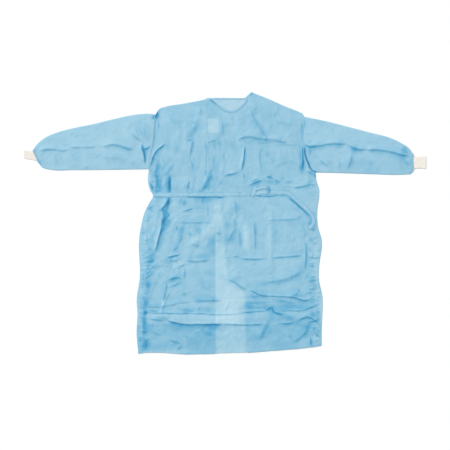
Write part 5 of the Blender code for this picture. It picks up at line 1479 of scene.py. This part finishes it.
def makeSleeve(side, own, s):
    outward = -1 if side == "Left" else 1
    bodyLine = smoothLine(outline["leftSide" if side == "Left" else "rightSide"])
    armhole = edge(bodyLine, 1, own["top"][0][1], own["foot"][0][1], 0.1 * outward)
    topLine, footLine = smoothLine(own["top"]), smoothLine(own["foot"])
    wrist = edge(smoothLine(own["wrist"]), 1)
    edges = (edge(topLine, 0), edge(footLine, 0), armhole, wrist)
    length = abs(own["top"][-1][0] - own["top"][0][0])
    us, plan, across, fromEdge, isOver = tubeRings(edges, length, s)
    x, y = plan[..., 0], plan[..., 1]
    u = us[:, None]
    fromSeam, fromWrist = u * length, (1 - u) * length
    low, high = min(x.min(), x.max()), max(x.min(), x.max())
    stray = strayCreases(s["strayCount"], (low, high, 225, 480), 20, 61 + outward)
    folds, dark = creaseRelief(x, y, own["creases"] + stray, 62 + outward)
    crown = np.sin(np.pi * across) ** 0.7
    crown = crown * (s["crown"] * (1 - 0.35 * u) + 0.8 * np.sin(9 * u) * u * (1 - u))
    hold = smooth(fromEdge / 22) * smooth(fromSeam / 14) * smooth(fromWrist / 20)
    relief = hold * (folds + 0.9 * crumple(x, y, crumpling, 3 + outward))
    gathers = np.cos(2 * math.pi * s["gathers"] * across + 0.8 * np.sin(9 * across))
    gathers = s["gatherRise"] * gathers * smooth(1 - fromWrist / s["gatherReach"])
    full = s["fullHeight"] + crown + relief + gathers * smooth(fromEdge / 8)
    full = np.maximum(full, 1.6)
    roll = rollOff(fromEdge, s["edgeRadius"])
    over = s["edgeHeight"] + (full - s["edgeHeight"]) * roll
    seam = s["seamHeight"]
    over = seam + (over - seam) * rollOff(fromSeam, s["seamReach"])
    pressed = np.clip(0.25 * (folds + crumple(x, y, crumpling, 7 + outward)), 0, 0.9)
    under = s["edgeHeight"] * (1 - roll) + pressed * roll * smooth(fromSeam / 20)
    z = np.where(isOver, over, under)
    z = np.maximum(z, 0.0)
    # the creases' painted shade, then painted shade along the seam groove and where the sleeve goes under the cuff
    tone = own["tone"] + dark + blotches(x, y, crumpling, 5 + outward)
    tone += 0.10 * (1 - smooth(fromSeam / 4)) + 0.12 * (1 - smooth(fromWrist / 9))
    # painted shade in the deep pocket at the foot of the right armhole
    if side == "Right":  # the deep pocket at the foot of the armhole
        pocket = smooth((352 - y) / 26) * (1 - smooth((fromSeam - 4) / 7))
        tone += pocket * (0.7 + 0.5 * smooth((300 - y) / 50))
    tone += 0.06 * smooth((300 - y) / 40) * (side == "Right")
    return addSheet(
        f"sleeve{side}", np.dstack([plan, z]), s["wall"], "nonwoven", tone, True, side == "Right"
    )


sleevePieces = {side: makeSleeve(side, own, sleeve) for side, own in sleeves.items()}
print("sleeves laid")

# Knit cuffs

cuff = {
    "wall": 1.1,
    "ribs": 17,
    "ribRise": 0.75,
    "stationStep": 3.2,
    "edgeRadius": 3,
    "edgeHeight": 2.2,
    "fullHeight": 4.2,
    "tuckIn": 1.5,
}

cuffs = {
    # outer x, outer top y, outer foot y, inner top y, inner foot y, flat size
    "Left": (-893, 327, 290, 322, 280, (0.10, 0.05), 0.0040),
    "Right": (893, 300, 243, 299, 244, (0.13, 0.06), 0.0066),
}


def makeCuff(side, row, s):
    outerX, outerTop, outerFoot, innerTop, innerFoot, _, _ = row
    outward = math.copysign(1, outerX)
    wrist = smoothLine(sleeves[side]["wrist"])
    inner = edge(wrist, 1, innerTop, innerFoot, -outward * s["tuckIn"])
    bulge = 1.2 * outward
    outerLine = np.array([
        (outerX - bulge, outerTop), (outerX, (outerTop + outerFoot) / 2), (outerX - bulge, outerFoot),
    ])
    outer = edge(smoothLine(outerLine), 1)
    waist = 0.04 * (outerTop - outerFoot)
    middleX = (outerX + inner(0)[0]) / 2
    top = smoothLine([inner(0), (middleX, (innerTop + outerTop) / 2 - waist), outer(0)])
    foot = smoothLine([inner(1), (middleX, (innerFoot + outerFoot) / 2 + waist), outer(1)])
    edges = (edge(top, 0), edge(foot, 0), inner, outer)
    length = abs(outerX - inner(0)[0])
    counts = {"over": 4 * s["ribs"] + 1, "under": 4 * s["ribs"] + 1}
    ring = {**s, **counts}
    us = fineEnds(length, s["stationStep"], (0, 1.2, 3))
    plan, tones, heights = [], [], []
    for u in us:
        ends = spread([u], [0, 1], *edges)[:, 0]
        width = np.linalg.norm(ends[1] - ends[0])
        inside = np.linspace(0.6 / width, 1 - 0.6 / width, ring["over"])
        across = np.concatenate([[0], inside, [1], inside[::-1]])
        fromEdge = np.minimum(across, 1 - across) * width
        rib = 0.5 - 0.5 * np.cos(2 * math.pi * s["ribs"] * across)
        roll = rollOff(fromEdge, s["edgeRadius"])
        flare = 0.5 * u + 0.25 * math.sin(7 * u)
        over = s["edgeHeight"] + (s["fullHeight"] + flare - s["edgeHeight"]) * roll
        over = over + s["ribRise"] * (rib - 0.5) * roll
        under = s["edgeHeight"] * (1 - roll) + s["ribRise"] * (1 - rib) * roll
        isOver = np.arange(len(across)) <= ring["over"] + 1
        plan.append(spread([u], across, *edges)[:, 0])
        heights.append(np.where(isOver, over, under))
        # painted shade in the grooves between the ribs and where the cuff goes under the sleeve
        tones.append(0.75 * (1 - rib) * roll + 0.2 * (1 - smooth(u * length / 3)))
    points = np.dstack([np.array(plan), np.array(heights)])
    return addSheet(
        f"cuff{side}", points, s["wall"], "knit", np.array(tones), True, side == "Right"
    )


cuffPieces = {side: makeCuff(side, row, cuff) for side, row in cuffs.items()}
print("cuffs made")

# Neck bindings and the tab behind the neck

binding = {
    "width": 7.5,
    "wall": 0.4,
    "gap": 0.1,
    "inFromEdge": 0.8,
    "dome": 0.4,
    "step": 3.5,
    "tone": 0.54,
    "backTone": 0.5,
    "backWidth": 6,
    "backPath": [(-50, 554.6), (22, 555), (88, 554.6)],
}


# Fractions across a strip, close together at both edges.
def acrossStrip(steps):
    inner = np.linspace(0.42, -0.42, steps - 4)
    return np.concatenate([[0.5, 0.475], inner, [-0.475, -0.5]])


# A strip that lies on cloth along a line, its long edges turned down a little.
def layStrip(name, line, width, wall, dome, find, finish, tone, steps=7, gap=0.25, sway=0.0):
    along = directions(line)
    sideways = np.stack([-along[:, 1], along[:, 0]], -1)
    across = acrossStrip(steps)
    wander = sway * cloud(np.arange(len(line)) * 4.0, np.zeros(len(line)), 46, 71)
    plan = np.stack([line + sideways * (width * a + wander)[:, None] for a in across])
    seat = np.array([[find(x, y) for x, y in row] for row in plan])
    level = seat.copy()
    for _ in range(6):
        padded = np.pad(level, ((1, 1), (2, 2)), mode="edge")
        level = (
            padded[1:-1, :-4] + padded[1:-1, 1:-3] + padded[1:-1, 3:-1] + padded[1:-1, 4:]
            + padded[1:-1, 2:-2] * 2 + padded[:-2, 2:-2] + padded[2:, 2:-2]
        ) / 8
        level = np.maximum(level, seat)
    profile = dome * (1 - (2 * across[:, None]) ** 2)
    z = level + gap + wall + profile
    tones = np.broadcast_to(np.asarray(tone), z.shape)
    return addSheet(name, np.dstack([plan, z]), wall, finish, tones), np.dstack([plan, z])


def makeBindings(s):
    neck = evenLine(smoothLine(outline["neckline"]), s["step"])[1:-1]
    along = directions(neck)
    inward = np.stack([along[:, 1], -along[:, 0]], -1)
    line = neck + inward * (s["width"] / 2 + s["inFromEdge"])
    find = heightFinder([frontPanel])
    start = 0.5 * np.exp(-((np.linspace(0, 1, len(line)) - 0.06) / 0.1) ** 2)
    tone = s["tone"] + start[None, :] + np.zeros((9, 1))
    frontStrip, frontPoints = layStrip(
        "neckBindingFront", line, s["width"], s["wall"], s["dome"], find, "nonwoven", tone, 9, s["gap"]
    )
    line = evenLine(smoothLine(s["backPath"]), s["step"])
    find = heightFinder([backPanelRight, backPanelLeft])
    backStrip, backPoints = layStrip(
        "neckBindingBack", line, s["backWidth"], s["wall"], s["dome"], find, "nonwoven",
        s["backTone"], 9, s["gap"],
    )
    tabX, tabY, halfX, halfY = front["tab"]
    line = evenLine(np.array([(tabX, tabY + halfY), (tabX, tabY - halfY)], float), 6)
    tab, _ = layStrip("neckTab", line, 2 * halfX, 0.5, 0.1, find, "tabCloth", 0.2, 9, 0.2)
    return frontStrip, backStrip, tab, frontPoints, backPoints


neckBindingFront, neckBindingBack, neckTab, frontBindingPoints, backBindingPoints = makeBindings(binding)
print("bindings and tab sewn on")

# Belt

belt = {
    "width": 20,
    "wall": 0.35,
    "dome": 0.9,
    "gap": 0.08,
    "step": 4,
    "tone": 0.42,
    "streak": 0.16,
    "leftPath": [(-317, 127.5), (-250, 127), (-180, 128), (-80, 128), (0, 128), (60, 129), (112, 132)],
    "rightPath": [
        (196, 140), (228, 138), (256, 138), (279, 134), (309, 111), (340, 84), (364, 62), (387, 33),
        (393, 9), (386, -10), (371, -24),
    ],
    # How dark the painted shade along the lower edge is, from one end of the run to the other
    "leftEdge": [(0, 0.7), (0.1, 0.6), (0.16, 0.25), (0.3, 0.25), (0.36, 0.8), (0.7, 0.9), (0.76, 0.2), (1, 0.2)],
    "rightEdge": [(0, 0.3), (0.2, 0.35), (0.3, 0.9), (0.6, 0.7), (0.8, 0.9), (0.92, 0.6), (1, 0.3)],
    "knotLoops": {
        # x, y, height, width, tilt in degrees, tone; the high tones at the loop's right end are a painted shadow inside
        # the loop
        "inner": [
            (104, 131, 0.7, 19, 0, 0.36), (130, 133, 0.9, 19, 1, 0.34), (160, 137, 1.0, 18, 1, 0.28),
            (190, 140, 0.9, 18, 1, 0.38), (210, 140, 0.6, 19, 0, 0.34),
        ],
        "loop": [
            (158, 130, 1.3, 12, 1, 0.36), (140, 132, 1.5, 12, 2, 0.32), (129, 140, 1.7, 12, 3, 0.28),
            (137, 150, 1.9, 12, 3, 0.26), (156, 158, 2.0, 12, 3, 0.24), (178, 161, 2.1, 13, 4, 0.30),
            (193, 155, 2.0, 13, 5, 0.85), (196, 146, 1.8, 13, 4, 0.95), (187, 137, 1.6, 12, 2, 0.5),
            (172, 132, 1.4, 12, 1, 0.34),
        ],
        "turn": [
            (121, 118, 0.6, 15, 0, 0.45), (124, 126, 1.8, 15, 1, 0.34), (128, 140, 2.6, 16, 1, 0.28),
            (132, 153, 2.4, 16, 1, 0.32), (135, 164, 0.7, 14, 0, 0.42),
        ],
    },
}


def ribbon(name, rows, wall, finish, find, steps=9):
    table = evenLine(smoothLine(rows, 8), 2.5)
    line, tilt, width = table[:, :3], np.radians(table[:, 4]), table[:, 3]
    along = directions(line[:, :2])
    sideways = np.stack([-along[:, 1], along[:, 0]], -1)
    points = []
    for a in acrossStrip(steps):
        shift = sideways * (a * width * np.cos(tilt))[:, None]
        plan = line[:, :2] + shift
        z = line[:, 2] + a * width * np.sin(tilt) + 0.5 * (1 - 4 * a * a)
        base = np.array([find(x, y) for x, y in plan])
        points.append(np.column_stack([plan, base + np.maximum(z, wall + 0.1)]))
    points = np.array(points)
    streak = 0.08 * cloud(np.arange(len(table))[None, :] * 2.5, np.arange(steps)[:, None] * 9.0, 12, 78)
    # painted shade along the ribbons' edges
    rims = 0.32 * (np.abs(acrossStrip(steps)) > 0.4)[:, None]
    return addSheet(name, points, wall, finish, table[:, 5][None, :] + streak + rims)


def makeBelt(s):
    find = heightFinder([frontPanel])
    runs = {}
    for side, path in (("Left", s["leftPath"]), ("Right", s["rightPath"])):
        line = evenLine(smoothLine(path), s["step"])
        count = len(line)
        across = acrossStrip(11)[:, None]
        fractions, run = np.linspace(0, 1, count)[None, :], np.arange(count)[None, :] * 4.0
        low = np.interp(fractions, *np.array(s["leftEdge" if side == "Left" else "rightEdge"]).T)
        # painted shade along the lower edge, a darker line along the upper edge, and a painted highlight just above the
        # lower edge
        tone = s["tone"] + 0.55 * low * smooth((-0.22 - across) / 0.22)
        tone = tone + 0.16 * smooth((across - 0.3) / 0.14) - 0.14 * low * np.exp(-(((across + 0.12) / 0.14) ** 2))
        tone = tone + s["streak"] * cloud(run / 6, across * 6 + 40, 1, 77 + count)
        tone = tone + 0.06 * cloud(run, across * 20, 30, 79)
        runs[side] = layStrip(
            f"belt{side}", line, s["width"], s["wall"], s["dome"], find, "nonwoven", tone, 11,
            s["gap"], 0.6,
        )
    parts = [
        ribbon(f"beltKnot{key.capitalize()}", rows, s["wall"], "nonwoven", find)
        for key, rows in s["knotLoops"].items()
    ]
    return runs, parts


beltRuns, knotParts = makeBelt(belt)
print("belt tied")

# Weld marks along the seams

seamMarks = {
    "Spacing": 5.2 * mm,
    "Mark Length": 2.6 * mm,
    "Mark Width": 0.9 * mm,
    "Mark Height": 0.5 * mm,
    "Seed": 4,
    "fromArmhole": 5.5,
    "fromWrist": 7,
}


def seamTree(s):
    tree = bpy.data.node_groups.new("seamMarks", "GeometryNodeTree")
    sockets = {}
    tree.interface.new_socket("Geometry", in_out="INPUT", socket_type="NodeSocketGeometry")
    for key in ("Spacing", "Mark Length", "Mark Width", "Mark Height"):
        sockets[key] = tree.interface.new_socket(key, in_out="INPUT", socket_type="NodeSocketFloat")
    sockets["Seed"] = tree.interface.new_socket("Seed", in_out="INPUT", socket_type="NodeSocketInt")
    tree.interface.new_socket("Geometry", in_out="OUTPUT", socket_type="NodeSocketGeometry")

    def node(kind, values=None, **settings):
        made = tree.nodes.new(kind)
        for key, value in settings.items():
            setattr(made, key, value)
        for key, value in (values or {}).items():
            if isinstance(value, bpy.types.NodeSocket):
                tree.links.new(value, made.inputs[key])
            else:
                made.inputs[key].default_value = value
        return made

    entry = node("NodeGroupInput")
    curve = node("GeometryNodeMeshToCurve", {"Mesh": entry.outputs["Geometry"]})
    even = node(
        "GeometryNodeResampleCurve",
        {"Curve": curve.outputs[0], "Length": entry.outputs["Spacing"]}, mode="LENGTH",
    )
    tangent = node("GeometryNodeInputTangent")
    turned = node(
        "FunctionNodeAlignRotationToVector", {"Vector": tangent.outputs[0]}, axis="X"
    )
    half = []
    for key in ("Mark Length", "Mark Width", "Mark Height"):
        half.append(node("ShaderNodeMath", {0: entry.outputs[key], 1: 0.5}, operation="MULTIPLY"))
    size = node("ShaderNodeCombineXYZ", {i: part.outputs[0] for i, part in enumerate(half)})
    ball = node("GeometryNodeMeshUVSphere", {"Segments": 8, "Rings": 4, "Radius": 1.0})
    random = node(
        "FunctionNodeRandomValue", {"Seed": entry.outputs["Seed"]}, data_type="FLOAT"
    )
    floats = [socket for socket in random.inputs if socket.type == "VALUE" and socket.name in ("Min", "Max")]
    floats[0].default_value, floats[1].default_value = 0.85, 1.15
    spreadOut = [socket for socket in random.outputs if socket.type == "VALUE"][0]
    scaled = node("ShaderNodeVectorMath", {0: size.outputs[0]}, operation="SCALE")
    tree.links.new(spreadOut, scaled.inputs["Scale"])
    placed = node(
        "GeometryNodeInstanceOnPoints",
        {
            "Points": even.outputs[0], "Instance": ball.outputs["Mesh"],
            "Rotation": turned.outputs[0], "Scale": scaled.outputs[0],
        },
    )
    real = node("GeometryNodeRealizeInstances", {"Geometry": placed.outputs[0]})
    coloured = node("GeometryNodeSetMaterial", {"Geometry": real.outputs[0], "Material": finishes["thread"]})
    leave = node("NodeGroupOutput")
    tree.links.new(coloured.outputs[0], leave.inputs[0])
    return tree, {key: socket.identifier for key, socket in sockets.items()}


def seatedLine(line, find, above=0.15):
    return np.array([(x, y, find(x, y) + above) for x, y in line])


def seamLines(s):
    lines = []
    find = heightFinder([frontPanel])
    for side, top, foot, inward in (("leftSide", 480, 246, 1), ("rightSide", 470, 232, -1)):
        armhole = edge(smoothLine(outline[side]), 1, top, foot, inward * s["fromArmhole"])
        lines.append(seatedLine(armhole(np.linspace(0, 1, 60)), find))
    for side, piece in sleevePieces.items():
        find = heightFinder([piece])
        outward = -1 if side == "Left" else 1
        wrist = smoothLine(sleeves[side]["wrist"])
        low, high = wrist[:, 1].min() + 6, wrist[:, 1].max() - 6
        mark = edge(wrist, 1, high, low, -outward * s["fromWrist"])
        lines.append(seatedLine(mark(np.linspace(0, 1, 30)), find))
    for points in (frontBindingPoints, backBindingPoints):
        lines.append(points[len(points) // 2 + 1] + [0, 0, 0.1])
    for _, points in beltRuns.values():
        lines.append(points[1] + [0, 0, 0.05])
    return lines


def makeSeamMarks(s):
    tree, names = seamTree(s)
    points, pairs = [], []
    for line in seamLines(s):
        start = len(points)
        points += line.tolist()
        pairs += [(start + i, start + i + 1) for i in range(len(line) - 1)]
    mesh = bpy.data.meshes.new("seamGuide")
    mesh.from_pydata((np.array(points) * mm).tolist(), pairs, [])
    guide = bpy.data.objects.new("seamGuide", mesh)
    bpy.context.scene.collection.objects.link(guide)
    modifier = guide.modifiers.new("marks", "NODES")
    modifier.node_group = tree
    for key, name in names.items():
        modifier[name] = s[key]
    bpy.context.view_layer.update()
    graph = bpy.context.evaluated_depsgraph_get()
    made = bpy.data.meshes.new_from_object(guide.evaluated_get(graph))
    bpy.data.objects.remove(guide, do_unlink=True)
    made.name = "seamMarks"
    made.shade_smooth()
    piece = bpy.data.objects.new("seamMarks", made)
    bpy.context.scene.collection.objects.link(piece)
    return piece


seamPiece = makeSeamMarks(seamMarks)
print("seam marks:", len(seamPiece.data.polygons), "faces")

# What each piece stands for and rides on

for piece, nodeName, slotName in (
    (frontPanel, "body_front", "nonwoven_front"),
    (backPanelLeft, "back_left", "nonwoven_back"),
    (backPanelRight, "back_right", "nonwoven_back"),
    (sleevePieces["Left"], "sleeve_left", "nonwoven_sleeve"),
    (sleevePieces["Right"], "sleeve_right", "nonwoven_sleeve"),
    (cuffPieces["Left"], "cuff_left", "knit_cuff"),
    (cuffPieces["Right"], "cuff_right", "knit_cuff"),
    (neckBindingFront, "neck_binding_front", "neck_binding"),
    (neckBindingBack, "neck_binding_back", "neck_binding"),
    (neckTab, "neck_tab", "neck_tab"),
    (beltRuns["Left"][0], "belt_left", "belt"),
    (beltRuns["Right"][0], "belt_right", "belt"),
    (knotParts[0], "belt_knot", "belt"),
    (knotParts[1], "belt_knot", "belt"),
    (knotParts[2], "belt_knot", "belt"),
    (seamPiece, None, "nonwoven_front"),
):
    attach(piece, "root")
    if nodeName:
        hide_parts(nodeName)

for part, flat in zip(knotParts, ((0.0185, 0.107), (0.0125, 0.158), (0.0155, 0.053))):
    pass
